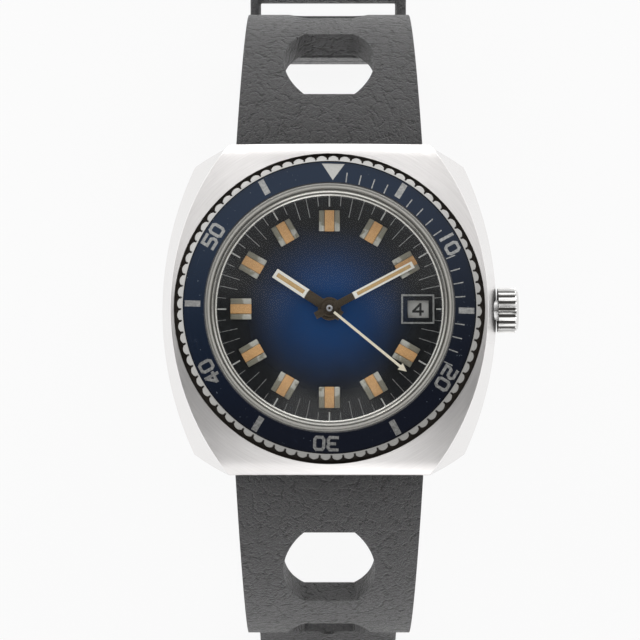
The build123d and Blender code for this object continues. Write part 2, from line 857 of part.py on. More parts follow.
with BuildPart() as seconds_wheel:
    add(gear_outline(middle, seconds_wheel_z, seconds_teeth, seconds_pitch, 0))
    extrude(amount=wheel_thickness)
    add(
        gear_outline(
            middle, seconds_wheel_z + wheel_thickness, seconds_leaves, seconds_pinion_pitch, seconds_phase,
        ),
    )
    extrude(amount=wheel_gap + wheel_thickness)
    with BuildSketch(Plane.XY.offset(arbor_foot_z)):
        Circle(seconds_arbor_radius)
    extrude(amount=seconds_hand_z + hand_thickness - arbor_foot_z)
finish(seconds_wheel, "seconds_wheel")

escape_wheel_z = barrel_z
escape_pitch = escape_radius * escape_teeth / (escape_teeth + 2 * tooth_tip_share)
with BuildPart() as escape_wheel:
    add(gear_outline(escape_place, escape_wheel_z, escape_teeth, escape_pitch, 0))
    extrude(amount=wheel_thickness)
    add(gear_outline(escape_place, seconds_wheel_z, escape_leaves, escape_pinion_pitch, escape_phase))
    extrude(amount=wheel_thickness)
    with BuildSketch(Plane(origin=(*escape_place, arbor_foot_z))):
        Circle(pivot_radius)
    extrude(amount=arbor_head_z - arbor_foot_z)
finish(escape_wheel, "escape_wheel")

with BuildPart() as mainspring_barrel:
    with BuildSketch(Plane(origin=(*barrel_place, barrel_z))):
        Circle(barrel_pitch * barrel_drum_share)
    extrude(amount=barrel_height)
    add(
        gear_outline(
            barrel_place, barrel_z + barrel_height - barrel_pinion_height, barrel_teeth, barrel_pitch,
            barrel_phase,
        ),
    )
    extrude(amount=barrel_pinion_height)
    with BuildSketch(Plane(origin=(*barrel_place, arbor_foot_z))):
        Circle(pivot_radius)
    extrude(amount=arbor_head_z - arbor_foot_z)
finish(mainspring_barrel, "mainspring_barrel")

# Pallet fork, with its two stones outside the escape wheel and its notch short of the balance staff
fork_arm_width = 0.35
fork_stone_width = 0.3
fork_reach_share = 0.72
fork_angle = degrees(atan2(balance_place[1] - fork_place[1], balance_place[0] - fork_place[0]))
escape_gap = Vector(*fork_place).sub(Vector(*escape_place)).length
balance_distance_from_fork = Vector(*balance_place).sub(Vector(*fork_place)).length
fork_length = balance_distance_from_fork * fork_reach_share
stone_length = escape_gap - escape_radius

with BuildPart() as pallet_fork:
    with BuildSketch(Plane(origin=(*fork_place, escape_wheel_z), x_dir=(*on_circle(1, fork_angle), 0))):
        with Locations((fork_length / 2, 0)):
            Rectangle(fork_length, fork_arm_width)
        Circle(fork_arm_width)
        Rectangle(fork_arm_width, 2 * stone_length)
        with Locations((-stone_length / 4, stone_length), (-stone_length / 4, -stone_length)):
            Rectangle(fork_arm_width + stone_length / 2, fork_stone_width)
    extrude(amount=wheel_thickness)
    with BuildSketch(Plane(origin=(*fork_place, arbor_foot_z))):
        Circle(pivot_radius)
    extrude(amount=arbor_head_z - arbor_foot_z)
finish(pallet_fork, "pallet_fork")

balance_z = seconds_wheel_z
balance_hub_radius = 0.6
with BuildPart() as balance_wheel:
    with BuildSketch(Plane(origin=(*balance_place, balance_z))):
        Circle(balance_radius)
        Circle(balance_radius - balance_rim, mode=Mode.SUBTRACT)
        Rectangle(2 * balance_radius - balance_rim, balance_rim)
        Rectangle(balance_rim, 2 * balance_radius - balance_rim)
        Circle(balance_hub_radius)
    extrude(amount=2 * wheel_thickness)
    with BuildSketch(Plane(origin=(*balance_place, arbor_foot_z))):
        Circle(pivot_radius)
    extrude(amount=arbor_head_z - arbor_foot_z)
finish(balance_wheel, "balance_wheel")

# Winding rotor: a half disc with a heavy rim, on a post that the train bridge carries
rotor_inset = 0.6
rotor_rim_width = 2.0
rotor_plate = 0.35
rotor_half_angle = 88.0
rotor_hub_radius = 1.8
rotor_screw_radius = 1.15
rotor_screw_head = 0.3
rotor_start = 20.0

rotor_radius = movement_radius - rotor_inset


def rotor_sector(height, inner, outer):
    """A sector of a ring at a height, as wide as the rotor."""
    outside = [on_circle(outer, rotor_start + turn) for turn in (-rotor_half_angle, 0, rotor_half_angle)]
    inside = [on_circle(inner, rotor_start + turn) for turn in (rotor_half_angle, 0, -rotor_half_angle)]
    with BuildSketch(Plane.XY.offset(height)) as sector:
        with BuildLine():
            ThreePointArc(*outside)
            Line(outside[2], inside[0])
            ThreePointArc(*inside)
            Line(inside[2], outside[0])
        make_face()
    return sector.sketch


rotor_top_z = rotor_z + rotor_height
with BuildPart() as rotor:
    with BuildSketch(Plane.XY.offset(rotor_top_z - rotor_plate)):
        add(rotor_sector(0, rotor_post_radius, rotor_radius))
        Circle(rotor_hub_radius)
        Circle(rotor_post_radius + turning_gap, mode=Mode.SUBTRACT)
    extrude(amount=rotor_plate)
    add(rotor_sector(rotor_z, rotor_radius - rotor_rim_width, rotor_radius))
    extrude(amount=rotor_height)
finish(rotor, "rotor")

with BuildPart() as rotor_screw:
    add(
        revolved(
            (0, rotor_top_z - rotor_plate - rotor_screw_head),
            (rotor_screw_radius, rotor_top_z - rotor_plate - rotor_screw_head),
            (rotor_screw_radius, rotor_top_z - rotor_plate - turning_gap),
            (rotor_post_radius, rotor_top_z - rotor_plate - turning_gap),
            (rotor_post_radius, bridge_z), (0, bridge_z),
        )
    )
finish(rotor_screw, "rotor_screw")

# Screws that hold the train bridge and the balance cock to the rim of the plate
screw_radius = 0.55
screw_head = 0.1
bridge_screw_angles = (20.0, 110.0, 300.0, 225.0)
with BuildPart() as bridge_screws:
    with BuildSketch(Plane.XY.offset(bridge_z - screw_head)):
        for angle in bridge_screw_angles:
            with Locations(on_circle(movement_radius - screw_radius - movement_wall / 4, angle)):
                Circle(screw_radius)
    extrude(amount=screw_head)
finish(bridge_screws, "bridge_screws")


# Hands. A plan of stem, tail, blade and lume slot, turned to the time that the hand shows.
def hand_plane(time, height):
    """A plane with its first axis along a hand that shows a time in degrees from twelve."""
    return Plane(origin=(0, 0, height), x_dir=(*on_circle(1, 90 - time), 0))


def flat_hand(time, height, length, tail, width, stem_length, hub_radius, bore, lume_width):
    """A baton hand with a slot for its lume."""
    with BuildPart() as hand:
        with BuildSketch(hand_plane(time, height)):
            with Locations(((length - tail) / 2, 0)):
                Rectangle(length + tail, width)
            Circle(hub_radius)
            Circle(bore, mode=Mode.SUBTRACT)
            with Locations(((stem_length + length) / 2, 0)):
                Rectangle(length - stem_length - 2 * lume_margin, lume_width, mode=Mode.SUBTRACT)
        extrude(amount=hand_thickness)
    return hand


def hand_lume(time, height, length, stem_length, lume_width):
    """The lume that fills a hand's slot and stands a little proud of it."""
    with BuildPart() as lume:
        with BuildSketch(hand_plane(time, height)):
            with Locations(((stem_length + length) / 2, 0)):
                Rectangle(length - stem_length - 2 * lume_margin, lume_width)
        extrude(amount=hand_thickness + lume_proud)
    return lume


hour_hand = flat_hand(
    hour_time, hour_hand_z, hour_length, hour_tail, hour_width, hour_stem_length, hour_hub_radius,
    hour_tube_radius, hour_lume_width
)
minute_hand = flat_hand(
    minute_time, minute_hand_z, minute_length, minute_tail, minute_width, minute_stem_length,
    minute_hub_radius, cannon_radius,
    minute_lume_width,
)
hour_hand_lume = hand_lume(hour_time, hour_hand_z, hour_length, hour_stem_length, hour_lume_width)
minute_hand_lume = hand_lume(
    minute_time, minute_hand_z, minute_length, minute_stem_length, minute_lume_width,
)
finish(hour_hand, "hour_hand")
finish(minute_hand, "minute_hand")
finish(hour_hand_lume, "hour_hand_lume")
finish(minute_hand_lume, "minute_hand_lume")

with BuildPart() as seconds_hand:
    with BuildSketch(hand_plane(seconds_time, seconds_hand_z)):
        with Locations(((seconds_length - seconds_head_length) / 2, 0)):
            Rectangle(seconds_length - seconds_head_length, seconds_width)
        with BuildLine():
            Polyline(
                (seconds_length, 0), (seconds_length - seconds_head_length, seconds_head_width / 2),
                (seconds_length - seconds_head_length, -seconds_head_width / 2), close=True,
            )
        make_face()
        Circle(seconds_hub_radius)
    extrude(amount=hand_thickness)
    with BuildSketch(Plane.XY.offset(seconds_hand_z + hand_thickness)):
        Circle(seconds_arbor_radius * 2)
    extrude(amount=seconds_pipe_height)
    with BuildSketch(Plane.XY.offset(seconds_hand_z)):
        Circle(seconds_arbor_radius)
    extrude(amount=hand_thickness, mode=Mode.SUBTRACT)
finish(seconds_hand, "seconds_hand")

# Crown, its tube in the case wall, the stem and the ring gasket between crown and tube
crown_x = case_half_width + crown_gap
crown_end_x = crown_x + crown_length
crown_cap = 0.6
crown_bore = tube_radius + gasket_thickness + turning_gap
tube_end_x = crown_x + tube_reach
gasket_x = tube_end_x - 2 * gasket_thickness

with BuildPart() as crown:
    with BuildSketch(Plane.YZ.offset(crown_x)):
        with Locations((0, stem_z)):
            Circle(crown_radius)
        with Locations((0, stem_z)):
            with PolarLocations(crown_radius + crown_flute_radius / 2, crown_flutes):
                Circle(crown_flute_radius, mode=Mode.SUBTRACT)
    extrude(amount=crown_length - crown_dome)
    with BuildSketch(Plane.YZ.offset(crown_end_x - crown_dome)):
        with Locations((0, stem_z)):
            Circle(crown_radius - crown_flute_radius / 2)
    extrude(amount=crown_dome, taper=degrees(atan2(crown_dome, crown_dome)))
    with BuildSketch(Plane.YZ.offset(crown_x)):
        with Locations((0, stem_z)):
            Circle(crown_bore)
    extrude(amount=crown_length - crown_cap, mode=Mode.SUBTRACT)
finish(crown, "crown")

with BuildPart() as crown_tube:
    with BuildSketch(Plane.YZ.offset(tube_end_x - tube_reach - tube_depth)):
        with Locations((0, stem_z)):
            Circle(tube_radius)
            Circle(tube_bore, mode=Mode.SUBTRACT)
    extrude(amount=tube_reach + tube_depth)
finish(crown_tube, "crown_tube")

with BuildPart() as crown_gasket:
    with BuildSketch(Plane.YZ.offset(gasket_x)):
        with Locations((0, stem_z)):
            Circle(crown_bore - turning_gap / 2)
            Circle(tube_radius + turning_gap / 2, mode=Mode.SUBTRACT)
    extrude(amount=gasket_thickness)
finish(crown_gasket, "crown_gasket")

with BuildPart() as winding_stem:
    with BuildSketch(Plane.YZ.offset(stem_inner_x)):
        with Locations((0, stem_z)):
            Circle(stem_radius)
    extrude(amount=crown_end_x - crown_cap - stem_inner_x)
finish(winding_stem, "winding_stem")


def spring_bar(side):
    """A spring bar across a strap slot, with its tips in the holes of the side walls."""
    with BuildPart() as bar:
        with BuildSketch(Plane.YZ):
            with Locations((side * bar_y, bar_z)):
                Circle(spring_bar_radius)
        extrude(amount=slot_half_width - turning_gap, both=True)
        with BuildSketch(Plane.YZ):
            with Locations((side * bar_y, bar_z)):
                Circle(spring_bar_tip_radius)
        extrude(amount=slot_half_width + spring_bar_tip_length, both=True)
    return bar


spring_bar_12 = spring_bar(1)
spring_bar_6 = spring_bar(-1)
finish(spring_bar_12, "spring_bar_12")
finish(spring_bar_6, "spring_bar_6")


# Strap. Each half follows one line of arcs and straights in the plane of YZ, from its spring bar down.
def strap_line(side, lean, straight, turn_radius, turn, end_straight, shift=0):
    """A strap half's line as a list of edges, on the side of +Y or -Y, shifted outwards from its middle.
    It leans outwards where the bend ends, and the second turn is inwards, or outwards below zero."""
    heading = Vector(side * cos(radians(strap_bar_tilt)), -sin(radians(strap_bar_tilt)))
    start = Vector(side * bar_y, bar_z) + Vector(-heading.Y * side, heading.X * side) * shift
    first = JernArc(start, heading, bar_radius_of_bend + shift, side * (strap_bar_tilt + lean - 90))
    drop = Line(first @ 1, (first @ 1) + (first % 1) * straight)
    second = JernArc(drop @ 1, drop % 1, turn_radius + (shift if turn > 0 else -shift), -side * turn)
    end = Line(second @ 1, (second @ 1) + (second % 1) * end_straight)
    return [first, drop, second, end]


def strap_plane(line, distance):
    """A plane across the strap at a distance along its line from the edge of the case, facing outwards."""
    distance += first_reach
    for edge in line:
        if distance <= edge.length:
            break
        distance -= edge.length
    place = edge @ (distance / edge.length)
    heading = edge % (distance / edge.length)
    side = 1 if line[0].end_point().X > 0 else -1
    return Plane(
        origin=(0, place.X, place.Y), x_dir=(1, 0, 0), z_dir=(0, -heading.Y * side, heading.X * side),
    )


def strap_blank(side, run, end_eye):
    """A strap half with its width tapering from the case down, before its holes."""
    outer = strap_line(side, *run, strap_thickness / 2)
    inner = strap_line(side, *run, -strap_thickness / 2)
    turned_z = (outer[2] @ 1).Y
    low_z = min((outer[3] @ 1).Y, turned_z) - 2 * strap_thickness
    waist_y = side * (bend_y + strap_bend_radius)
    with BuildPart() as blank:
        with BuildSketch(Plane.YZ):
            with BuildLine():
                add(outer)
                add(inner)
                Line(outer[0] @ 0, inner[0] @ 0)
                Line(outer[3] @ 1, inner[3] @ 1)
            make_face()
            with Locations(((outer[0] @ 0) + (inner[0] @ 0)) / 2):
                Circle(strap_thickness / 2)
            if end_eye:
                with Locations(((outer[3] @ 1) + (inner[3] @ 1)) / 2):
                    Circle(strap_thickness / 2)
        extrude(amount=strap_width / 2, both=True)
        # Sides cut back: along Y above the waist of the strap, along Z below it
        with BuildSketch(Plane.XY.offset(bend_z)):
            with BuildLine():
                Polyline(
                    (strap_width / 2, side * case_half_length), (strap_waist_width / 2, waist_y),
                    (strap_waist_width / 2, waist_y + side * overrun),
                    (strap_width, waist_y + side * overrun),
                    (strap_width, side * case_half_length), close=True,
                )
            make_face()
            mirror(about=Plane.YZ)
        extrude(amount=2 * strap_bend_radius, mode=Mode.SUBTRACT)
        with BuildSketch(Plane.XZ):
            with BuildLine():
                Polyline(
                    (strap_waist_width / 2, bend_z), (strap_end_width / 2, turned_z),
                    (strap_end_width / 2, low_z),
                    (strap_width, low_z), (strap_width, bend_z), close=True,
                )
            make_face()
            mirror(about=Plane.YZ)
        extrude(amount=3 * strap_bend_radius, both=True, mode=Mode.SUBTRACT)
    return blank.part


def big_hole(plane, width, length):
    """A barrel-shaped strap hole, straight across its near and far edges and bulging at its sides."""
    with BuildSketch(plane) as hole:
        with BuildLine():
            corner = (strap_hole_flat / 2, length / 2)
            Line((-corner[0], corner[1]), corner)
            ThreePointArc(corner, (width / 2, 0), (corner[0], -corner[1]))
            Line((corner[0], -corner[1]), (-corner[0], -corner[1]))
            ThreePointArc((-corner[0], -corner[1]), (-width / 2, 0), (-corner[0], corner[1]))
        make_face()
    return hole.sketch


first_reach = bar_radius_of_bend * radians(strap_edge_tilt - strap_bar_tilt)
buckle_run = (buckle_lean, buckle_straight, buckle_turn_radius, buckle_turn, buckle_end_straight)
buckle_line = strap_line(1, *buckle_run)
buckle_bar_place = buckle_line[-1] @ 1
# The tail turns outwards and lies flat, level with the front of the buckle's hanging frame
frame_drop = 90.0
floor_z = buckle_bar_place.Y - buckle_reach * sin(radians(frame_drop))
tail_straight = bend_z - tail_turn_radius - strap_thickness / 2 - floor_z
tail_run = (0, tail_straight, tail_turn_radius, -tail_turn, tail_flat)
tail_line = strap_line(-1, *tail_run)
bar_hole_radius = spring_bar_radius + turning_gap
buckle_hole_radius = buckle_bar_radius + turning_gap

with BuildPart() as strap_12:
    add(strap_blank(1, buckle_run, True))
    for number in range(2):
        plane = strap_plane(buckle_line, strap_hole_first + number * strap_hole_pitch)
        add(big_hole(plane, strap_hole_width - number * strap_hole_narrowing, strap_hole_length))
        extrude(amount=strap_thickness, dir=plane.z_dir, both=True, mode=Mode.SUBTRACT)
    with BuildSketch(Plane.YZ):
        with Locations((bar_y, bar_z)):
            Circle(bar_hole_radius)
        with Locations(buckle_bar_place):
            Circle(buckle_hole_radius)
    extrude(amount=strap_width, both=True, mode=Mode.SUBTRACT)
    # Slot for the tongue, open to the end
    with BuildSketch(Plane.YZ):
        with Locations(buckle_bar_place):
            Circle(strap_thickness / 2 + turning_gap + tongue_ring_wall)
    extrude(amount=tongue_slot_width / 2, both=True, mode=Mode.SUBTRACT)
finish(strap_12, "strap_12")

with BuildPart() as strap_6:
    add(strap_blank(-1, tail_run, False))
    # Corners of the tip rounded off
    tip_y = (tail_line[3] @ 1).X
    with BuildSketch(Plane.XY.offset((tail_line[3] @ 1).Y)):
        with Locations((0, tip_y + tail_tip_radius / 2)):
            Rectangle(2 * strap_width, tail_tip_radius + overrun)
        with Locations((0, tip_y + tail_flat / 2)):
            RectangleRounded(strap_end_width, tail_flat, tail_tip_radius, mode=Mode.SUBTRACT)
    extrude(amount=strap_thickness, both=True, mode=Mode.SUBTRACT)
    for number in range(3):
        plane = strap_plane(tail_line, strap_hole_first + number * strap_hole_pitch)
        add(big_hole(plane, strap_hole_width - number * strap_hole_narrowing, strap_hole_length))
        extrude(amount=strap_thickness, dir=plane.z_dir, both=True, mode=Mode.SUBTRACT)
    for number in range(adjust_hole_count):
        with BuildSketch(strap_plane(tail_line, adjust_hole_first + number * adjust_hole_pitch)):
            SlotOverall(adjust_hole_length, adjust_hole_width, rotation=90)
        extrude(amount=strap_thickness, both=True, mode=Mode.SUBTRACT)
    with BuildSketch(Plane.YZ):
        with Locations((-bar_y, bar_z)):
            Circle(bar_hole_radius)
    extrude(amount=strap_width, both=True, mode=Mode.SUBTRACT)
finish(strap_6, "strap_6")

# Keepers: closed loops round the strap, open enough on its outer side for the tail
keeper_bore_height = 2 * strap_thickness + keeper_spare + keeper_gap


def keeper(plane, strap_half_width):
    """A rectangular loop, on a plane across the strap with its first axis along the strap's width."""
    middle_height = (keeper_bore_height - strap_thickness) / 2 - keeper_gap
    bore_width = 2 * (strap_half_width + keeper_gap)
    with BuildPart() as loop:
        with BuildSketch(
            Plane(origin=plane.origin, x_dir=plane.x_dir, z_dir=plane.x_dir.cross(plane.z_dir)),
        ):
            with Locations((0, middle_height)):
                RectangleRounded(
                    bore_width + 2 * keeper_wall, keeper_bore_height + 2 * keeper_wall, keeper_wall,
                )
                Rectangle(bore_width, keeper_bore_height, mode=Mode.SUBTRACT)
        extrude(amount=keeper_length / 2, both=True)
    return loop


line_length = sum(edge.length for edge in buckle_line) - first_reach
floating_at = line_length - fixed_keeper_back - keeper_length - floating_keeper_apart
fixed_keeper = keeper(strap_plane(buckle_line, line_length - fixed_keeper_back), strap_end_width / 2)
floating_keeper = keeper(strap_plane(buckle_line, floating_at), strap_end_width / 2)
finish(fixed_keeper, "fixed_keeper")
finish(floating_keeper, "floating_keeper")

# Buckle. The frame turns on a bar through the strap's end.
frame_half_width = strap_end_width / 2 + buckle_side_gap
frame_plane = Plane(
    origin=(0, buckle_bar_place.X, buckle_bar_place.Y), x_dir=(1, 0, 0),
    z_dir=(0, -sin(radians(frame_drop)), cos(radians(frame_drop))),
)
frame_outer_width = 2 * (frame_half_width + buckle_side)
frame_outer_length = buckle_reach + buckle_back
frame_inner_length = buckle_reach - buckle_front + buckle_back
tongue_bore = buckle_bar_radius + turning_gap
tongue_ring_radius = tongue_bore + tongue_ring_wall
tongue_rise = buckle_thickness / 2 - tongue_thickness
side_plane = Plane(origin=frame_plane.origin, x_dir=-frame_plane.y_dir, z_dir=frame_plane.x_dir)

with BuildPart() as buckle_frame:
    with BuildSketch(frame_plane):
        with Locations((0, buckle_back - frame_outer_length / 2)):
            RectangleRounded(frame_outer_width, frame_outer_length, buckle_corner_radius)
        with Locations((0, buckle_back - frame_inner_length / 2 + overrun / 2)):
            RectangleRounded(
                2 * frame_half_width, frame_inner_length + overrun, buckle_inner_corner_radius,
                mode=Mode.SUBTRACT,
            )
    extrude(amount=buckle_thickness / 2, both=True)
    with BuildSketch(Plane.YZ):
        with Locations(buckle_bar_place):
            Circle(buckle_bar_radius + turning_gap)
    extrude(amount=frame_outer_width, both=True, mode=Mode.SUBTRACT)
    # Notch for the tongue in the outer side of the front
    with BuildSketch(side_plane):
        with Locations((buckle_reach, tongue_rise - turning_gap)):
            Rectangle(4 * buckle_front, buckle_thickness, align=(Align.CENTER, Align.MIN))
    extrude(amount=tongue_width / 2 + turning_gap, both=True, mode=Mode.SUBTRACT)
finish(buckle_frame, "buckle_frame")

with BuildPart() as buckle_bar:
    with BuildSketch(Plane.YZ):
        with Locations(buckle_bar_place):
            Circle(buckle_bar_radius)
    extrude(amount=frame_half_width + buckle_side - buckle_bar_inset, both=True)
finish(buckle_bar, "buckle_bar")

# Tongue: a ring on the bar and a finger that lies in the notch of the frame's front
with BuildPart() as buckle_tongue:
    with BuildSketch(side_plane):
        Circle(tongue_ring_radius)
        with BuildLine():
            Polyline(
                (0, tongue_ring_radius), (buckle_reach - 2 * buckle_front, tongue_rise + tongue_thickness),
                (buckle_reach - tongue_inset, tongue_rise + tongue_thickness),
                (buckle_reach - tongue_inset, tongue_rise),
                (buckle_reach - 2 * buckle_front, tongue_rise),
                (0, tongue_ring_radius - 2 * tongue_thickness), close=True,
            )
        make_face()
        Circle(tongue_bore, mode=Mode.SUBTRACT)
    extrude(amount=tongue_width / 2, both=True)
finish(buckle_tongue, "buckle_tongue")
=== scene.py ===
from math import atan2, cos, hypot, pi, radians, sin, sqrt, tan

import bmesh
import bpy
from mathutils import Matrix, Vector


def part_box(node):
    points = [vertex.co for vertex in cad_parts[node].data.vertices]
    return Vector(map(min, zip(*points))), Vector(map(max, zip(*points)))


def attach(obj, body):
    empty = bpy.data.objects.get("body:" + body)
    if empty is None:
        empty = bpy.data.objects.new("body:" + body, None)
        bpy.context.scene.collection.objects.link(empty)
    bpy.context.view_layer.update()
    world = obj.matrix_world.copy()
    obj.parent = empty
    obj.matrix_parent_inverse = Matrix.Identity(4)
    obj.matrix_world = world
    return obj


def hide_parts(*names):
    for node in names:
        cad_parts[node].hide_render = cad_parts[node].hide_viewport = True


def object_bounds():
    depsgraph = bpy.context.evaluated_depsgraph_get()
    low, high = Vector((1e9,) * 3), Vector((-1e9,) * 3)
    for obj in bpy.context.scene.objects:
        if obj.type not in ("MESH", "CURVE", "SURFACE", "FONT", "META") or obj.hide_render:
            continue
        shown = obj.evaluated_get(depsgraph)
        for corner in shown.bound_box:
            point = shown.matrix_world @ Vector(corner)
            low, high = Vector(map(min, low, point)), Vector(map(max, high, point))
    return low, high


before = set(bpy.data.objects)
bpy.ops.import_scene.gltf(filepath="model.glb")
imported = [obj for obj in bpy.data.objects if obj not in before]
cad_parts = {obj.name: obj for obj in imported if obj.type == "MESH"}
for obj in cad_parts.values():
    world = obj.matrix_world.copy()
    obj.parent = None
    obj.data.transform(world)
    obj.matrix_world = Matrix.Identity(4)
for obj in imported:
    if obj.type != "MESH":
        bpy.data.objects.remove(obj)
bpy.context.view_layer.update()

# %% [markdown]
# # Dressing a cushion case watch
# The watch arrives as plain solids, one object for each real piece, with the origin in the middle of the
# case back, +Z out of the crystal and +Y towards twelve o'clock. This lesson gives every piece its finish,
# adds the printed and cut details that are too fine for the solids, and sets up a plain studio.
# Sizes are written in millimetres, because watchmakers do, and become metres where a mesh is made.

MM = 0.001

# %% [markdown]
# ## Finishes as formulas
# Materials, the sky and Geometry Nodes are all graphs of nodes, and wired by hand they soon become hard to
# read. So one small class holds a graph and adds any node to it: its settings first, such as a maths
# operation, and then the values or links of its sockets. A second class wraps a socket and gives it
# arithmetic, so that a mask can be written as `1 - edge * wear`. A third is a material with its main shader.
# Numbers that are the same all over go straight on that shader's own sockets.


# %% The graph, signal and finish classes
class Graph:
    """A tree of nodes, with one method that adds any of them."""

    def __init__(self, tree):
        self.tree = tree

    def feed(self, socket, value):
        """Links a socket to a signal or to another socket, or sets its value."""
        source = value.socket if isinstance(value, Signal) else value
        if isinstance(source, bpy.types.NodeSocket):
            self.tree.links.new(source, socket)
        else:
            socket.default_value = source

    def node(self, kind, settings={}, values={}, output=0):
        item = self.tree.nodes.new(kind)
        for key, value in settings.items():
            setattr(item, key, value)
        for socket, value in values.items():
            self.feed(item.inputs[socket], value)
        return Signal(self, item.outputs[output])

    def maths(self, operation, *values):
        return self.node("ShaderNodeMath", {"operation": operation}, dict(enumerate(values)))

    def vector(self, x, y, z):
        return self.node("ShaderNodeCombineXYZ", {}, {0: x, 1: y, 2: z})


class Signal:
    """A socket that takes part in sums."""

    def __init__(self, graph, socket):
        self.graph, self.socket = graph, socket

    def __add__(self, other):
        return self.graph.maths("ADD", self, other)

    def __sub__(self, other):
        return self.graph.maths("SUBTRACT", self, other)

    def __rsub__(self, other):
        return self.graph.maths("SUBTRACT", other, self)

    def __mul__(self, other):
        return self.graph.maths("MULTIPLY", self, other)

    def __pow__(self, other):
        return self.graph.maths("POWER", self, other)

    def __abs__(self):
        return self.graph.maths("ABSOLUTE", self)

    __radd__ = __add__
    __rmul__ = __mul__

    def smooth(self, low, high):
        """0 below low and 1 above high, with a soft change between."""
        return self.graph.node(
            "ShaderNodeMapRange", {"interpolation_type": "SMOOTHSTEP"},
            {"Value": self, "From Min": low, "From Max": high},
        )


class Finish(Graph):
    """A material with one main shader."""

    def __init__(self, name, color, roughness=0.5, **constants):
        self.material = bpy.data.materials.new(name)
        self.material.use_nodes = True
        super().__init__(self.material.node_tree)
        self.shader = self.tree.nodes["Principled BSDF"]
        self.set("Base Color", (*color, 1))
        self.set("Roughness", roughness)
        for socket, value in constants.items():
            self.set(socket.replace("_", " "), value)
        self.material.diffuse_color = (*color, 1)
        place = self.node("ShaderNodeTexCoord", output="Object")
        self.place = self.node("ShaderNodeVectorMath", {"operation": "SCALE"}, {0: place, "Scale": 1 / MM})
        split = self.node("ShaderNodeSeparateXYZ", {}, {0: self.place}).socket.node
        self.x, self.y, self.z = (Signal(self, split.outputs[axis]) for axis in range(3))

    def set(self, socket, value):
        self.feed(self.shader.inputs[socket], value)

    def rough(self, value):
        self.set("Roughness", value)

    def color(self, share, first, second):
        """Mixes the surface from two colours."""
        self.set("Base Color", self.blend(share, first, second))

    def show(self, shader):
        """Puts a shader on the surface in place of the main one."""
        self.feed(self.tree.nodes["Material Output"].inputs[0], shader)

    def radius(self):
        """The distance from the axis of the hands, in millimetres."""
        return (self.x * self.x + self.y * self.y) ** 0.5

    def turn(self):
        """The angle round the axis of the hands, in radians."""
        return self.maths("ARCTAN2", self.y, self.x)

    def stretched(self, x, y, z):
        """The place, scaled along each axis."""
        return self.node("ShaderNodeVectorMath", {"operation": "MULTIPLY"}, {0: self.place, 1: (x, y, z)})

    def noise(self, scale, detail=2.0, rough=0.5, vector=None, distortion=0.0):
        """Cloudy noise from 0 to 1. The scale counts waves in a millimetre."""
        return self.node(
            "ShaderNodeTexNoise", {},
            {"Vector": vector or self.place, "Scale": scale, "Detail": detail, "Roughness": rough,
             "Distortion": distortion},
        )

    def circular(self, outwards, around, upwards, detail=4.0, rough=0.6):
        """Noise in circles round the hands: waves in a millimetre outwards, a radian and a millimetre up."""
        vector = self.vector(self.radius() * outwards, self.turn() * around, self.z * upwards)
        return self.noise(1.0, detail, rough, vector)

    def creases(self, scale, vector):
        """Distance to the nearest crease between cells. The scale counts cells in a millimetre."""
        return self.node(
            "ShaderNodeTexVoronoi", {"feature": "DISTANCE_TO_EDGE"}, {"Vector": vector, "Scale": scale},
        )

    def blend(self, share, first, second):
        """A colour between two others."""
        first, second = (c if isinstance(c, Signal) else (*c, 1) for c in (first, second))
        return self.node("ShaderNodeMix", {"data_type": "RGBA"}, {0: share, 6: first, 7: second}, output=2)

    def bump(self, height, depth):
        """Raises the surface by a height signal. The depth is in millimetres."""
        self.set("Normal", self.node("ShaderNodeBump", {}, {"Height": height, "Distance": depth * MM}))


print("finish classes ready")

# %% [markdown]
# ## Steels
# The case top is brushed in arcs round the dial, and its edges are polished. Brushing is thousands of fine
# scratches, so noise that is stretched along the scratch and squeezed across it drives a tiny bump. Polished
# steel only has faint wipe marks in its roughness. Radii and heights of the case say where each look ends.

# %% Steel finishes
STEEL = (0.66, 0.655, 0.65)
BRIGHT = (0.8, 0.795, 0.79)
OPENING, CREST_Z, TOP_SLOPE, WIDEST_Z = 18.0, 8.95, 0.28, 4.95
CROWN_RADIUS, CROWN_END = (c / MM for c in (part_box("crown")[1].y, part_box("crown")[1].x))
FACET_CENTRE, FACET_RADIUS = -12.5, 30.97
TOP_LEVEL = CREST_Z + OPENING * TOP_SLOPE
BRUSHED_ROLL, NECK_RADIUS = 0.7, 16.4
RING_START, RING_WAVES = 13.02, 15.5
FLUTE_DARK = (0.03, 0.027, 0.024)


def polished_steel():
    """Mirror steel with faint smears and hairlines."""
    finish = Finish("polished_steel", BRIGHT, Metallic=1.0)
    smear = finish.noise(0.35, 4.0, 0.6)
    hairline = finish.noise(2.0, 2.0, 0.5, finish.stretched(0.3, 5.0, 2.0))
    finish.rough(0.06 + 0.16 * smear * hairline)
    finish.color(finish.noise(0.5, 3.0), BRIGHT, (0.74, 0.74, 0.755))
    return finish


def turned_steel():
    """Steel turned on a lathe: fine rings, a little duller than polish, with painted light towards twelve and
    the left and painted shade towards six and the right.
    """
    finish = Finish("turned_steel", (0.5, 0.49, 0.48), Metallic=1.0)
    # Painted light and shade: the rings are coloured lighter towards twelve and the left and darker towards six
    # and the right.
    wear_and_shade = (finish.y * 0.8 - finish.x * 0.35).smooth(-17.0, 14.0)
    rings = finish.circular(14.0, 2.0, 9.0)
    dim = finish.blend(rings, (0.19, 0.187, 0.178), (0.36, 0.355, 0.34))
    lighter_tone = finish.blend(rings, (0.44, 0.435, 0.42), (0.7, 0.69, 0.67))
    finish.color(wear_and_shade, dim, lighter_tone)
    finish.rough(0.2 + 0.2 * rings)
    finish.bump(rings, 0.004)
    return finish


def turned_circles(finish):
    """Soft waves from 0 to 1 along the radius, one for each turned step."""
    return finish.maths("SINE", (finish.radius() - RING_START) * RING_WAVES) * 0.5 + 0.5


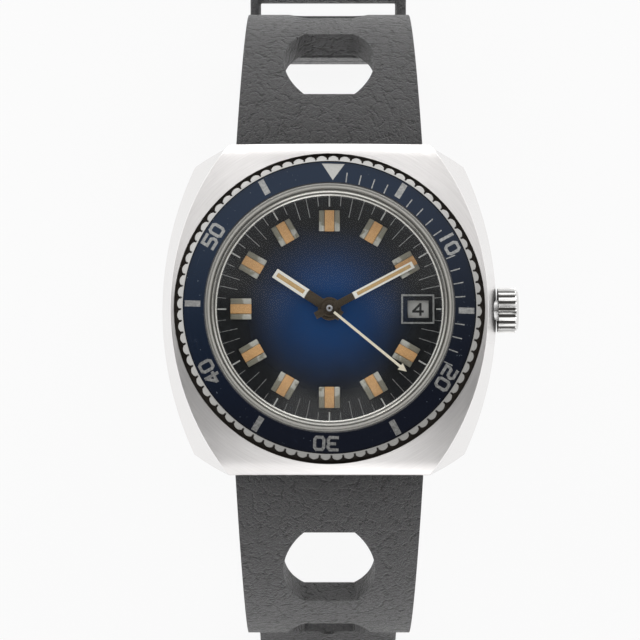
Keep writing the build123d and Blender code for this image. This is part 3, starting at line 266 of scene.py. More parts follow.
def ring_steel():
    """Turned steps seen through the edge of the crystal: bright and dull circles."""
    finish = Finish("ring_steel", (0.45, 0.43, 0.4), Metallic=0.85)
    fine = finish.noise(9.0, 3.0, 0.6, finish.vector(finish.radius(), 0.0, 0.0))
    bands = (turned_circles(finish) * 0.7 + fine * 0.5).smooth(0.3, 0.9)
    finish.color(bands, (0.12, 0.114, 0.1), (0.68, 0.66, 0.62))
    finish.rough(0.38 - 0.2 * bands)
    return finish


def crown_steel():
    """Polished ridges, with the flutes between them darker, rougher and less metallic."""
    finish = Finish("crown_steel", BRIGHT)
    height = finish.z - WIDEST_Z
    reach = (finish.y * finish.y + height * height) ** 0.5
    # The flutes between the ridges are coloured near black, and made rougher and less metallic.
    flute_dark = 1 - reach.smooth(CROWN_RADIUS - 0.13, CROWN_RADIUS - 0.03)
    flute_dark = flute_dark * (1 - finish.x.smooth(CROWN_END - 0.42, CROWN_END - 0.36))
    smear = finish.noise(1.5, 4.0, 0.6, finish.stretched(0.4, 1.0, 1.0))
    steel = finish.blend(smear, (0.72, 0.71, 0.69), BRIGHT)
    finish.color(flute_dark, steel, FLUTE_DARK)
    finish.set("Metallic", 1 - flute_dark * 0.8)
    finish.rough(0.14 + 0.14 * smear + 0.3 * flute_dark)
    return finish


def brushed_steel(name, along=(0.06, 9.0, 9.0), color=STEEL):
    """Straight brushing: the place is squeezed along the scratches and stretched across them."""
    finish = Finish(name, color, Metallic=1.0)
    scratches = finish.noise(1.0, 5.0, 0.65, finish.stretched(*along))
    finish.rough(0.24 + 0.18 * scratches)
    dim, lighter_tone = [c * 0.86 for c in color], [min(1, c * 1.12) for c in color]
    finish.color(scratches, dim, lighter_tone)
    finish.bump(scratches, 0.012)
    return finish


def case_steel():
    """Brushed in arcs on the sloping top and polished outside the facet line, with painted shade, near black
    and barely metallic, in the ring round and under the bezel.
    """
    finish = Finish("case_steel", BRIGHT, Anisotropic=0.6, Anisotropic_Rotation=0.25)
    arc = finish.radius()
    scratches = finish.circular(11.0, 5.0, 0.1, rough=0.7)
    coarse = finish.circular(2.6, 3.0, 0.0, detail=3.0)
    reach = ((abs(finish.x) - FACET_CENTRE) ** 2.0 + finish.y * finish.y) ** 0.5
    level = finish.z + arc * TOP_SLOPE + BRUSHED_ROLL * (1 - finish.y.smooth(-1.0, 1.0))
    top = (1 - reach.smooth(FACET_RADIUS - 0.1, FACET_RADIUS - 0.02))
    top = top * level.smooth(TOP_LEVEL - 0.1, TOP_LEVEL - 0.03)
    top = top * arc.smooth(OPENING, OPENING + 0.06)
    # Painted shade: the ring between the neck and the opening, under the bezel, is coloured near black and made
    # barely metallic.
    painted_bezel_shade = arc.smooth(NECK_RADIUS, NECK_RADIUS + 0.2) * (1 - arc.smooth(OPENING + 0.02, OPENING + 0.05))
    smear = finish.noise(0.4, 4.0, 0.6)
    beside_crown = (1 - abs(finish.y).smooth(2.6, 4.6)) * finish.x.smooth(18.2, 18.6)
    polish = 0.14 + 0.12 * smear + 0.3 * beside_crown
    finish.rough(polish * (1 - top) + (0.27 + 0.17 * scratches) * top + painted_bezel_shade * 0.4)
    brushed = finish.blend(scratches * 0.7 + coarse * 0.3, (0.58, 0.56, 0.55), (0.96, 0.94, 0.93))
    steel = finish.blend(top, (0.87, 0.857, 0.85), brushed)
    finish.color(painted_bezel_shade, steel, (0.035, 0.027, 0.021))
    finish.set("Metallic", 1 - painted_bezel_shade * 0.9)
    finish.bump(scratches * top, 0.02)
    return finish


print("steel finishes ready")

# %% [markdown]
# ## Paint, lacquer, lume and rubber
# The dial is dark blue lacquer with a soft glow in its middle, so its colour is mixed by the distance from the
# axis. The turning bezel's plate is enamelled navy. Old lume is a chalky paste, with grains and darker
# patches. The strap is black rubber, moulded with a leather grain: broken creases between rounded cells, over
# a finer wrinkle. The crystal only reflects on its outer faces, so that the dial stays clear from the side.


# %% Colour finishes
def dial_lacquer():
    finish = Finish("dial_lacquer", (0.01, 0.04, 0.12))
    cloud = finish.noise(0.22, 3.0) * 1.8 - 0.9
    glow = 1 - (finish.radius() + cloud).smooth(1.0, 10.8)
    speck = finish.noise(2.3, 2.0).smooth(0.72, 0.76)
    deep = finish.blend(glow, (0.0105, 0.0115, 0.013), (0.008, 0.048, 0.16))
    finish.color(speck * 0.4, deep, (0.05, 0.07, 0.1))
    finish.rough(0.14 + 0.1 * finish.noise(0.8, 3.0))
    return finish


def insert_enamel():
    finish = Finish("insert_enamel", (0.012, 0.03, 0.1), Coat_Weight=0.3, Coat_Roughness=0.06)
    wear_and_shade = finish.noise(0.9, 5.0, 0.7).smooth(0.6, 0.78)
    scuff = finish.circular(4.0, 3.0, 0.0)
    speck = finish.noise(3.1, 2.0).smooth(0.73, 0.76)
    # Painted light and shade: the navy is coloured lighter towards twelve and the left and darker towards six
    # and the right.
    painted_light = (finish.y * 0.9 - finish.x * 0.3).smooth(-13.0, 17.0)
    lit_and_shaded_navy = finish.blend(painted_light, (0.0022, 0.004, 0.011), (0.005, 0.017, 0.042))
    navy = finish.blend(wear_and_shade * 0.3, lit_and_shaded_navy, (0.012, 0.024, 0.05))
    finish.color(speck * 0.6, navy, (0.2, 0.24, 0.28))
    finish.rough(0.15 + 0.2 * scuff.smooth(0.58, 0.8) + 0.1 * wear_and_shade)
    finish.bump(finish.noise(9.0, 2.0), 0.002)
    return finish


def silver_print():
    finish = Finish("silver_print", (0.35, 0.35, 0.34), Metallic=0.15)
    patch = finish.noise(4.0, 4.0, 0.6)
    shaded = finish.blend(patch.smooth(0.35, 0.7), (0.13, 0.13, 0.127), (0.27, 0.27, 0.262))
    lit = finish.blend(patch.smooth(0.35, 0.7), (0.3, 0.305, 0.3), (0.46, 0.46, 0.45))
    finish.color(finish.y.smooth(-12.0, 14.0), shaded, lit)
    finish.rough(0.25 + 0.3 * patch)
    return finish


def mottled(name, color, roughness, clouds, low, high):
    """Flat paint with a faint mottle. The clouds are a scale, a detail and a roughness of noise."""
    finish = Finish(name, color, roughness)
    finish.color(finish.noise(*clouds), low, high)
    return finish


def frosted_silver():
    """Silver blocks gone dull and yellowish, with bright corners free of tarnish."""
    finish = Finish("frosted_silver", (0.55, 0.54, 0.48), Metallic=0.9)
    grain = finish.noise(14.0, 3.0, 0.7)
    inner = 1 - (finish.radius() + 0.9 * finish.noise(1.6, 3.0, 0.6)).smooth(10.45, 10.75)
    tarnish = inner * finish.noise(1.1, 2.0).smooth(0.35, 0.5)
    dim = finish.blend(grain, (0.16, 0.15, 0.115), (0.4, 0.38, 0.31))
    finish.color(tarnish * (0.3 + 0.7 * grain), dim, (0.66, 0.65, 0.6))
    finish.rough(0.34 + 0.3 * grain)
    finish.bump(grain, 0.025)
    return finish


def lume(name, pale, dark):
    finish = Finish(name, pale, 0.85)
    grain = finish.noise(9.0, 4.0, 0.7)
    patch = finish.noise(0.9, 3.0, 0.6)
    finish.color(grain.smooth(0.35, 0.7) * 0.55 + patch * 0.4, dark, pale)
    finish.bump(grain, 0.03)
    return finish


def hand_paint():
    """Off-white on the blade and dark bronze on the stem near the hub."""
    finish = Finish("hand_paint", (0.82, 0.8, 0.74))
    stem = 1 - finish.radius().smooth(3.14, 3.26)
    speck = finish.noise(7.0, 4.0, 0.6)
    blade = finish.blend(speck, (0.72, 0.7, 0.63), (0.9, 0.88, 0.82))
    bronze = finish.blend(speck, (0.035, 0.028, 0.02), (0.13, 0.1, 0.07))
    finish.color(stem, blade, bronze)
    finish.set("Metallic", stem * 0.8)
    finish.rough(0.28 + 0.2 * speck)
    return finish


def cream_paint():
    """Cream on the needle, and blackened brass on the hub in the middle."""
    finish = Finish("cream_paint", (0.85, 0.76, 0.58), 0.4)
    hub = 1 - finish.radius().smooth(0.66, 0.72)
    grain = finish.noise(9.0, 3.0)
    cream = finish.blend(grain, (0.72, 0.64, 0.48), (0.88, 0.82, 0.68))
    brass = finish.blend(grain, (0.02, 0.016, 0.012), (0.1, 0.08, 0.06))
    finish.color(hub, cream, brass)
    finish.set("Metallic", hub * 0.9)
    return finish


def leather_rubber():
    """Black rubber with a moulded leather grain: long wandering creases over a fine pebble."""
    shine = {"Specular_IOR_Level": 0.85, "Sheen_Weight": 0.4, "Sheen_Roughness": 0.35}
    finish = Finish("leather_rubber", (0.022, 0.022, 0.024), **shine)
    sway = finish.noise(0.9, 3.0, 0.6)
    drift = finish.noise(1.3, 3.0, 0.6, finish.stretched(1.0, -1.0, 1.0))
    wander = finish.node(
        "ShaderNodeVectorMath", {"operation": "ADD"},
        {0: finish.place, 1: finish.vector(sway * 1.8, drift * 1.8, sway * 1.8)},
    )
    broken = finish.noise(1.2, 2.0).smooth(0.4, 0.58)
    crease = 1 - (1 - finish.creases(0.6, wander).smooth(0.0, 0.13)) * broken
    branch = 1 - (1 - finish.creases(1.5, wander).smooth(0.0, 0.16)) * (1 - broken * 0.7)
    wrinkle = finish.noise(3.2, 7.0, 0.82, distortion=0.9)
    height = crease * 0.5 + branch * 0.25 + wrinkle * 0.9
    raised = height.smooth(0.7, 1.35)
    # Painted shade: the grain's colour goes near black down in its creases and hollows, and lighter on its
    # raised cells.
    finish.color(raised, (0.0025, 0.0025, 0.003), (0.036, 0.035, 0.038))
    finish.rough(0.6 - 0.26 * height.smooth(0.7, 1.3))
    finish.bump(height, 0.7)
    return finish


def seal_rubber():
    finish = Finish("seal_rubber", (0.02, 0.02, 0.02))
    finish.rough(0.45 + 0.2 * finish.noise(2.0, 3.0))
    return finish


def plated_brass():
    """Nickel-plated movement parts with a circular grain, warmer where the plate is thin."""
    finish = Finish("plated_brass", (0.72, 0.68, 0.58), Metallic=1.0)
    grain = finish.circular(6.0, 4.0, 1.0)
    finish.color(finish.noise(0.4, 3.0), (0.74, 0.72, 0.66), (0.72, 0.6, 0.36))
    finish.rough(0.2 + 0.25 * grain)
    finish.bump(grain, 0.006)
    return finish


def acrylic():
    """A clear dome with a reflection that grows towards its edge, and a skirt frosted in fine circles."""
    finish = Finish("acrylic", (1, 1, 1))
    clear = finish.node("ShaderNodeBsdfTransparent", {}, {0: (0.985, 0.99, 0.99, 1)})
    gloss = finish.node("ShaderNodeBsdfGlossy", {}, {0: (1, 1, 1, 1), 1: 0.02})
    edge = finish.node("ShaderNodeFresnel", {}, {0: 1.38})
    outside = 1 - finish.node("ShaderNodeNewGeometry", output="Backfacing")
    hair = finish.noise(1.0, 3.0, 0.5, finish.stretched(0.12, 2.4, 1.0)).smooth(0.7, 0.8)
    shine = (edge * 0.8 + 0.02 * hair) * outside
    dome = finish.node("ShaderNodeMixShader", {}, {0: shine, 1: clear, 2: gloss})
    frost = finish.node("ShaderNodeBsdfDiffuse", {}, {0: (0.42, 0.41, 0.38, 1)})
    skirt = finish.radius().smooth(13.8, 13.9) * (0.35 + 0.6 * turned_circles(finish))
    finish.show(finish.node("ShaderNodeMixShader", {}, {0: skirt, 1: dome, 2: frost}))
    return finish


finishes = {
    "polished": polished_steel(),
    "brushed": brushed_steel("brushed_steel"),
    "turned": turned_steel(),
    "ring": ring_steel(),
    "crown": crown_steel(),
    "ground": brushed_steel("ground_steel", (5.0, 5.0, 0.3), (0.55, 0.55, 0.57)),
    "case": case_steel(),
    "dial": dial_lacquer(),
    "insert": insert_enamel(),
    "silver": silver_print(),
    "white": mottled(
        "white_print", (0.55, 0.55, 0.53), 0.5, (6.0, 3.0, 0.6), (0.42, 0.42, 0.4), (0.6, 0.6, 0.58),
    ),
    "frosted": frosted_silver(),
    "marker_lume": lume("marker_lume_paste", (0.78, 0.48, 0.23), (0.47, 0.24, 0.085)),
    "hand_lume": lume("hand_lume_paste", (0.66, 0.46, 0.22), (0.4, 0.24, 0.09)),
    "hands": hand_paint(),
    "cream": cream_paint(),
    "date": mottled(
        "date_paint", (0.5, 0.49, 0.47), 0.6, (2.0, 4.0), (0.44, 0.43, 0.41), (0.56, 0.55, 0.53),
    ),
    "ink": Finish("black_ink", (0.012, 0.012, 0.013), 0.5),
    "rubber": leather_rubber(),
    "seal": seal_rubber(),
    "brass": plated_brass(),
    "acrylic": acrylic(),
}
print("finishes:", len(finishes))

# %% [markdown]
# ## Making and placing pieces
# Every new piece is a mesh whose object stays at the origin, so its points carry its place, as the solids do.
# Four helpers cover most of them: one joins columns of points into a grid, one turns a profile round the axis,
# one copies a solid and rounds its edges, and one gives the piece its finish and says what it rides on.


# %% Piece helpers
def new_piece(name, mesh):
    piece = bpy.data.objects.new(name, mesh)
    bpy.context.scene.collection.objects.link(piece)
    return piece


def from_points(name, points, faces):
    """A mesh piece from points in millimetres."""
    mesh = bpy.data.meshes.new(name)
    mesh.from_pydata([[c * MM for c in point] for point in points], [], faces)
    return new_piece(name, mesh)


def grid(name, columns, closed=True):
    """A mesh from columns of points. Each column is a closed loop, and faces join it to the next column."""
    count, rows, faces = len(columns), len(columns[0]), []
    for column in range(count if closed else count - 1):
        here, there = column * rows, (column + 1) % count * rows
        for row in range(rows):
            after = (row + 1) % rows
            faces.append((here + row, here + after, there + after, there + row))
    return from_points(name, [point for column in columns for point in column], faces)


def round_axis(profile, angle):
    """Points of (radius, height) pairs, turned round the axis by an angle in radians."""
    return [(radius * cos(angle), radius * sin(angle), height) for radius, height in profile]


def smooth(piece, angle=30):
    """Shades smoothly across edges that turn less than the angle."""
    piece.data.shade_smooth()
    piece.data.set_sharp_from_angle(angle=radians(angle))
    return piece


def coat(piece, finish):
    piece.data.materials.clear()
    piece.data.materials.append(finishes[finish].material)


def settle(piece, body, finish, stands_for=None):
    """Gives a piece its finish, the body that it rides on and the solid that it stands for."""
    coat(piece, finish)
    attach(piece, body)
    if stands_for:
        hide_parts(stands_for)
    print(f"{piece.name}: {finish}, rides on {body}")
    return piece


def lathe(name, profile, steps=180):
    """Turns a closed profile of (radius, height) pairs all the way round the axis."""
    return tidy(grid(name, [round_axis(profile, 2 * pi * step / steps) for step in range(steps)]))


def tidy(piece):
    """Joins points that coincide, drops what has no area and turns the faces outwards."""
    form = bmesh.new()
    form.from_mesh(piece.data)
    bmesh.ops.remove_doubles(form, verts=form.verts, dist=2e-7)
    bmesh.ops.dissolve_degenerate(form, edges=form.edges, dist=1e-7)
    bmesh.ops.recalc_face_normals(form, faces=form.faces)
    form.to_mesh(piece.data)
    form.free()
    return piece


def refined(name, node, rounding=0.0, segments=2, angle=30):
    """A copy of a solid with its triangles joined, its flats merged and its edges rounded, in millimetres."""
    form = bmesh.new()
    form.from_mesh(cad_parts[node].data)
    bmesh.ops.remove_doubles(form, verts=form.verts, dist=1e-6)
    bmesh.ops.dissolve_limit(form, angle_limit=radians(0.8), verts=form.verts, edges=form.edges)
    mesh = bpy.data.meshes.new(name)
    form.to_mesh(mesh)
    form.free()
    piece = new_piece(name, mesh)
    if rounding:
        edge = piece.modifiers.new("edge", "BEVEL")
        edge.width, edge.segments = rounding * MM, segments
        edge.limit_method, edge.angle_limit = "ANGLE", radians(angle)
        edge.use_clamp_overlap = True
        flatten(piece)
    return smooth(piece, 40)


def flatten(piece):
    """Turns the modified result into a plain mesh and removes the modifiers."""
    bpy.context.view_layer.update()
    shape = piece.evaluated_get(bpy.context.evaluated_depsgraph_get())
    mesh = bpy.data.meshes.new_from_object(shape)
    piece.modifiers.clear()
    old, piece.data = piece.data, mesh
    bpy.data.meshes.remove(old)
    mesh.name = piece.name
    return piece


print("piece helpers ready")

# %% [markdown]
# ## One pattern for everything that goes round
# Scallops, minute lines, hour blocks and bezel marks all repeat round the axis of the hands. One Geometry
# Nodes tree makes them all: it puts a copy of a unit on each of a number of points at the centre, and turns
# each one a step further. Inputs say how many, how far apart, where the first is and which are left out. It
# ends by making the copies real and giving them their material.


# %% The tree that copies a unit round the axis
def round_tree():
    tree = bpy.data.node_groups.new("copies_round_an_axis", "GeometryNodeTree")
    kinds = {
        "Unit": "NodeSocketGeometry", "Count": "NodeSocketInt", "Step": "NodeSocketFloat",
        "Start": "NodeSocketFloat", "Leave Out Every": "NodeSocketInt", "Leave Out": "NodeSocketInt",
        "Material": "NodeSocketMaterial",
    }
    sockets = {
        name: tree.interface.new_socket(name, in_out="INPUT", socket_type=kind) for name, kind in kinds.items()
    }
    tree.interface.new_socket("Copies", in_out="OUTPUT", socket_type="NodeSocketGeometry")
    graph = Graph(tree)
    given = {name: Signal(graph, socket) for name, socket in tree.nodes.new("NodeGroupInput").outputs.items()}
    result = tree.nodes.new("NodeGroupOutput")

    index, every = graph.node("GeometryNodeInputIndex"), given["Leave Out Every"]
    remainder = graph.maths("FLOORED_MODULO", index, graph.maths("MAXIMUM", every, 1.0))
    counted = graph.maths("LESS_THAN", remainder, 0.5) * graph.maths("GREATER_THAN", every, 0.5)
    named = graph.maths("COMPARE", index, given["Leave Out"], 0.5)
    kept = graph.maths("LESS_THAN", counted + named, 0.5)
    rotation = graph.vector(0.0, 0.0, given["Start"] + index * given["Step"])
    points = graph.node("GeometryNodePoints", {}, {"Count": given["Count"]})
    copies = graph.node(
        "GeometryNodeInstanceOnPoints", {},
        {"Points": points, "Selection": kept, "Instance": given["Unit"], "Rotation": rotation},
    )
    real = graph.node("GeometryNodeRealizeInstances", {}, {0: copies})
    seamless = graph.node("GeometryNodeMergeByDistance", {}, {"Geometry": real, "Distance": 5e-7})
    finished = graph.node("GeometryNodeSetMaterial", {}, {"Geometry": seamless, "Material": given["Material"]})
    graph.feed(result.inputs[0], finished)
    return tree, {name: socket.identifier for name, socket in sockets.items()}


ROUND_TREE, ROUND_INPUTS = round_tree()
print("inputs of the tree:", ", ".join(ROUND_INPUTS))


def copies_round(unit, count, finish, step=None, start=0.0, every=0, missing=-1):
    """Repeats a unit piece. Steps and the start are clockwise degrees, seen from above."""
    pattern = unit.modifiers.new("round", "NODES")
    pattern.node_group = ROUND_TREE
    values = {
        "Count": count, "Step": -radians(step or 360 / count), "Start": -radians(start),
        "Leave Out Every": every, "Leave Out": missing, "Material": finishes[finish].material,
    }
    for name, value in values.items():
        pattern[ROUND_INPUTS[name]] = value
    flatten(unit)
    print(unit.name, "copies:", count, "faces:", len(unit.data.polygons))
    return unit


# %% [markdown]
# ## Flat figures
# Prints and marks are thin plates: an outline in plan, lifted a little above the surface that carries it. On
# the sloping bezel plate each point takes its height from the slope. Digits are drawn with a square pen along
# short paths in a square of side 1, which suits the squared numbers of such a bezel.


# %% Plates and numerals
def plate(name, outline, bottom, top):
    """A thin prism from an anticlockwise outline. Heights are numbers or functions of the radius."""
    count = len(outline)

    def level(height, x, y):
        return height(hypot(x, y)) if callable(height) else height

    points = [(x, y, level(height, x, y)) for height in (bottom, top) for x, y in outline]
    faces = [tuple(reversed(range(count))), tuple(range(count, 2 * count))]
    for k in range(count):
        after = (k + 1) % count
        faces.append((k, after, count + after, count + k))
    return from_points(name, points, faces)


def bar_outline(inner, outer, width):
    """A bar that points to twelve o'clock, from one radius to another."""
    return [(-width / 2, inner), (width / 2, inner), (width / 2, outer), (-width / 2, outer)]


def turned(outline, angle):
    """An outline turned clockwise by an angle in degrees."""
    turn = radians(-angle)
    return [(x * cos(turn) - y * sin(turn), x * sin(turn) + y * cos(turn)) for x, y in outline]


def joined(name, pieces):
    """One piece from several."""
    form = bmesh.new()
    for piece in pieces:
        form.from_mesh(piece.data)
    mesh = bpy.data.meshes.new(name)
    form.to_mesh(mesh)
    form.free()
    for piece in pieces:
        old = piece.data
        bpy.data.objects.remove(piece)
        bpy.data.meshes.remove(old)
    return new_piece(name, mesh)


# %% Digits
CUT, DIGIT_GAP = 0.18, 0.14
LOOP = [
    (CUT, 0), (1 - CUT, 0), (1, CUT), (1, 1 - CUT), (1 - CUT, 1), (CUT, 1), (0, 1 - CUT), (0, CUT), (CUT, 0),
]
UPPER_HOOK = [(0, 1), (1 - CUT, 1), (1, 1 - CUT), (1, 0.5 + CUT), (1 - CUT, 0.5)]
LOWER_HOOK = [(1 - CUT, 0.53), (1, 0.53 - CUT), (1, CUT), (1 - CUT, 0), (0, 0)]
DIGITS = {
    "0": [LOOP],
    "1": [[(0.6, 0), (0.6, 1)]],
    "2": [UPPER_HOOK + [(CUT, 0.5), (0, 0.5 - CUT), (0, 0), (1, 0)]],
    "3": [UPPER_HOOK + [(0.3, 0.5)], LOWER_HOOK],
    "4": [[(0.76, 0), (0.76, 1)], [(0.7, 0.96), (0.05, 0.38)], [(0, 0.3), (1, 0.3)]],
    "5": [[(1, 1), (0, 1), (0, 0.53)] + LOWER_HOOK],
    "6": [
        LOOP[:3] + [(1, 0.55 - CUT), (1 - CUT, 0.55), (0, 0.55)],
        [(CUT, 0), (0, CUT), (0, 1 - CUT), (CUT, 1), (1, 1)],
    ],
    "7": [[(0, 1), (1, 1), (1, 0.78), (0.42, 0)]],
    "8": [LOOP, [(0, 0.5), (1, 0.5)]],
    "9": [
        [(1, 0.45), (CUT, 0.45), (0, 0.45 + CUT), (0, 1 - CUT), (CUT, 1)],
        [(CUT, 1), (1 - CUT, 1)] + LOOP[3:1:-1] + LOOP[1::-1],
    ],
}


print("digits:", len(DIGITS))


def pen_bars(path, pen):
    """Four-cornered outlines that follow a path with a thick pen, mitred where it bends."""
    closed = path[0] == path[-1]
    points = path[:-1] if closed else list(path)
    if not closed:
        for end, inner in ((0, 1), (-1, -2)):
            out = (Vector(points[end]) - Vector(points[inner])).normalized() * pen / 2
            points[end] = tuple(Vector(points[end]) + out)
    count, left, right = len(points), [], []
    for k, (x, y) in enumerate(points):
        pairs = []
        if closed or k > 0:
            pairs.append((points[k - 1], (x, y)))
        if closed or k < count - 1:
            pairs.append(((x, y), points[(k + 1) % count]))
        normals = [Vector((a[1] - b[1], b[0] - a[0])).normalized() for a, b in pairs]
        side = sum(normals, Vector((0, 0)))
        side *= pen / side.length_squared if len(pairs) == 2 else pen / 2
        left.append((x + side.x, y + side.y))
        right.append((x - side.x, y - side.y))
    ends = range(count if closed else count - 1)
    return [[right[k], right[(k + 1) % count], left[(k + 1) % count], left[k]] for k in ends]


def number(text, width, height, pen, radius, angle, bottom, top, upright=False):
    """A number on a circle at a clockwise angle from twelve, its top outwards, or upright at three o'clock."""
    bars = []
    for place, digit in enumerate(text):
        shift = (place - (len(text) - 1) / 2) * (width + DIGIT_GAP) - (width - pen) / 2
        for path in DIGITS[digit]:
            drawn = [(x * (width - pen) + shift, (y - 0.5) * (height - pen)) for x, y in path]
            for bar in pen_bars(drawn, pen):
                moved = [(x + radius, y) if upright else (x, y + radius) for x, y in bar]
                bars.append(plate("bar", turned(moved, angle), bottom, top))
    return joined("number_" + text, bars)


# %% [markdown]
# ## The turning bezel
# Eighty half-round scallops stand round the rim, under a turned chamfer that leaves a bright petal on each.
# The unit is one scallop with the part of the ring behind it: its outer radius follows a half circle, and
# the chamfer cuts it wherever it is smaller. The tree turns it eighty times and joins the seams. The bezel
# of the real watch rests 1.5 degrees past twelve, so everything on it starts there.

# %% Bezel rim
BEZEL_TURN = 1.5
BEZEL_RADIUS, VALLEY_RADIUS, BEZEL_BORE = 17.6, 17.05, 14.95
INSERT_BORE, INSERT_RADIUS = 14.48, 16.9
BEZEL_Z, INSERT_Z, RIM_Z = 8.41, 10.41, 10.94
SCALLOPS, CHAMFER_ROWS = 80, 5
RIM_CHAMFER, RIM_CHAMFER_HEIGHT = 0.66, 0.8
FOOT_CHAMFER, INSERT_ROOM = (0.25, 0.3), 0.02


def scallop(samples=10):
    half = 180 / SCALLOPS
    slope_rows = [row / CHAMFER_ROWS for row in range(CHAMFER_ROWS + 1)]
    columns = []
    for sample in range(samples + 1):
        share = 2 * sample / samples - 1
        reach = VALLEY_RADIUS + (BEZEL_RADIUS - VALLEY_RADIUS) * sqrt(max(0, 1 - share * share))
        section = [(BEZEL_BORE, BEZEL_Z), (reach - FOOT_CHAMFER[0], BEZEL_Z)]
        section.append((reach, BEZEL_Z + FOOT_CHAMFER[1]))
        for row in slope_rows:
            height = RIM_Z - RIM_CHAMFER_HEIGHT * (1 - row)
            section.append((min(reach, BEZEL_RADIUS - RIM_CHAMFER * row), height))
        recess = INSERT_RADIUS + INSERT_ROOM
        section += [(recess, RIM_Z), (recess, INSERT_Z), (BEZEL_BORE, INSERT_Z)]
        columns.append(round_axis(section, radians(90 - share * half)))
    return grid("bezel_rim", columns, closed=False)


bezel_rim = copies_round(scallop(), SCALLOPS, "polished", start=BEZEL_TURN)
settle(smooth(tidy(bezel_rim), 28), "bezel", "turned", "bezel_ring")

# %% [markdown]
# The enamelled plate in the bezel slopes down a little towards the rim, so that it catches the light on one
# side and goes dark on the other, and its colour has painted light towards twelve and painted shade towards six
# as well. Its marks are plates that follow the slope.

# %% Bezel plate and its marks
INSERT_TOP, INSERT_FALL, INSERT_ROUND = 10.86, 0.12, 0.06
MARK_RISE, MARK_ROOT = 0.012, 0.03
MINUTE_LINE, FIVE_BAR = (14.57, 15.7, 0.13), (14.9, 16.7, 0.7)
TRIANGLE_APEX, TRIANGLE_BASE, TRIANGLE_HALF = 14.72, 16.62, 1.32
NUMBER_SIZE, NUMBER_PEN, NUMBER_RADIUS = (1.4, 1.76), 0.35, 15.73


def insert_level(radius):
    return INSERT_TOP - INSERT_FALL * (radius - INSERT_BORE) / (INSERT_RADIUS - INSERT_BORE)


# The underside and the top of a mark on the sloping plate.
ON_INSERT = (lambda radius: insert_level(radius) - MARK_ROOT, lambda radius: insert_level(radius) + MARK_RISE)
bezel_plate = lathe(
    "bezel_plate",
    [
        (INSERT_BORE, INSERT_Z), (INSERT_RADIUS, INSERT_Z),
        (INSERT_RADIUS, insert_level(INSERT_RADIUS) - INSERT_ROUND),
        (INSERT_RADIUS - INSERT_ROUND, insert_level(INSERT_RADIUS)), (INSERT_BORE + INSERT_ROUND, INSERT_TOP),
        (INSERT_BORE, INSERT_TOP - INSERT_ROUND),
    ],
)
settle(smooth(bezel_plate), "bezel", "insert", "bezel_insert")

minute_lines = copies_round(
    plate("bezel_minute_lines", bar_outline(*MINUTE_LINE), *ON_INSERT), 20, "silver",
    step=6, start=BEZEL_TURN, every=5,
)
five_bars = copies_round(
    plate("bezel_five_bars", bar_outline(*FIVE_BAR), *ON_INSERT), 6, "silver", start=BEZEL_TURN + 30,
)
for piece in (minute_lines, five_bars):
    settle(piece, "bezel", "silver")
triangle = [(0, TRIANGLE_APEX), (TRIANGLE_HALF, TRIANGLE_BASE), (-TRIANGLE_HALF, TRIANGLE_BASE)]
bezel_triangle = plate("bezel_triangle", turned(triangle, BEZEL_TURN), *ON_INSERT)
settle(bezel_triangle, "bezel", "white")
numbers = [
    number(str(minutes), *NUMBER_SIZE, NUMBER_PEN, NUMBER_RADIUS, BEZEL_TURN + 6 * minutes, *ON_INSERT)
    for minutes in range(10, 60, 10)
]
settle(joined("bezel_numbers", numbers), "bezel", "silver")

# %% [markdown]
# ## The case
# The case is one block of steel. Its solid has the bore, the slots and the undercut, but the visible skin
# wants smoother shapes than flat triangles: a brushed top that slopes away from the opening, a polished facet
# that widens to the corners, and ends that roll over in a soft quarter turn. Every ray from the middle meets
# each of these once, so the skin is a grid: one column for each ray, one row for each line round the case.

# %% Lines round the case
HALF_WIDTH, HALF_LENGTH = 19.57, 19.3
CORNER = (15.793, 16.849)
CORNER_MIDDLE = (13.82, 18.17)
END_X = 11.72
ROLL_START, ROLL_CURVE = 17.85, 0.15
EDGE_ROUND, END_ROUND, SUPPORT = 0.07, 0.16, 0.03
RAY_STEP, TOP_ROWS, CURVE_STEPS = 1.25, 9, 6
# The two edges of the skin tuck in, outwards and down, or inwards and down, where nobody sees them.
WALL_LOW, WALL_TUCK, RIM_TUCK = CREST_Z - 0.65, (0.3, 0.1), (0.6, 0.02)


def circle_through(a, b, c):
    """The centre and radius of the circle through three points."""
    (ax, ay), (bx, by), (cx, cy) = a, b, c
    d = 2 * (ax * (by - cy) + bx * (cy - ay) + cx * (ay - by))
    sa, sb, sc = ax * ax + ay * ay, bx * bx + by * by, cx * cx + cy * cy
    x = (sa * (by - cy) + sb * (cy - ay) + sc * (ay - by)) / d
    y = (sa * (cx - bx) + sb * (ax - cx) + sc * (bx - ax)) / d
    return (x, y), hypot(ax - x, ay - y)


def ray_to_circle(centre, radius, angle):
    """How far along a ray from the middle a circle is met."""
    along = centre[0] * cos(angle) + centre[1] * sin(angle)
    return along + sqrt(along * along - centre[0] ** 2 - centre[1] ** 2 + radius * radius)


FLANK = circle_through((CORNER[0], -CORNER[1]), (HALF_WIDTH, 0), CORNER)
CORNER_ARC = circle_through(CORNER, CORNER_MIDDLE, (END_X, HALF_LENGTH))
CORNER_ANGLE, END_ANGLE = atan2(CORNER[1], CORNER[0]), atan2(HALF_LENGTH, END_X)
print("flank radius, mm:", round(FLANK[1], 1), "corner radius, mm:", round(CORNER_ARC[1], 1))


# %% The skin of the case
def top_height(radius, angle):
    """A cone from the opening outwards, which rolls over towards the two ends."""
    past = max(0, radius * abs(sin(angle)) - ROLL_START)
    return CREST_Z - TOP_SLOPE * (radius - OPENING) - ROLL_CURVE * past * past


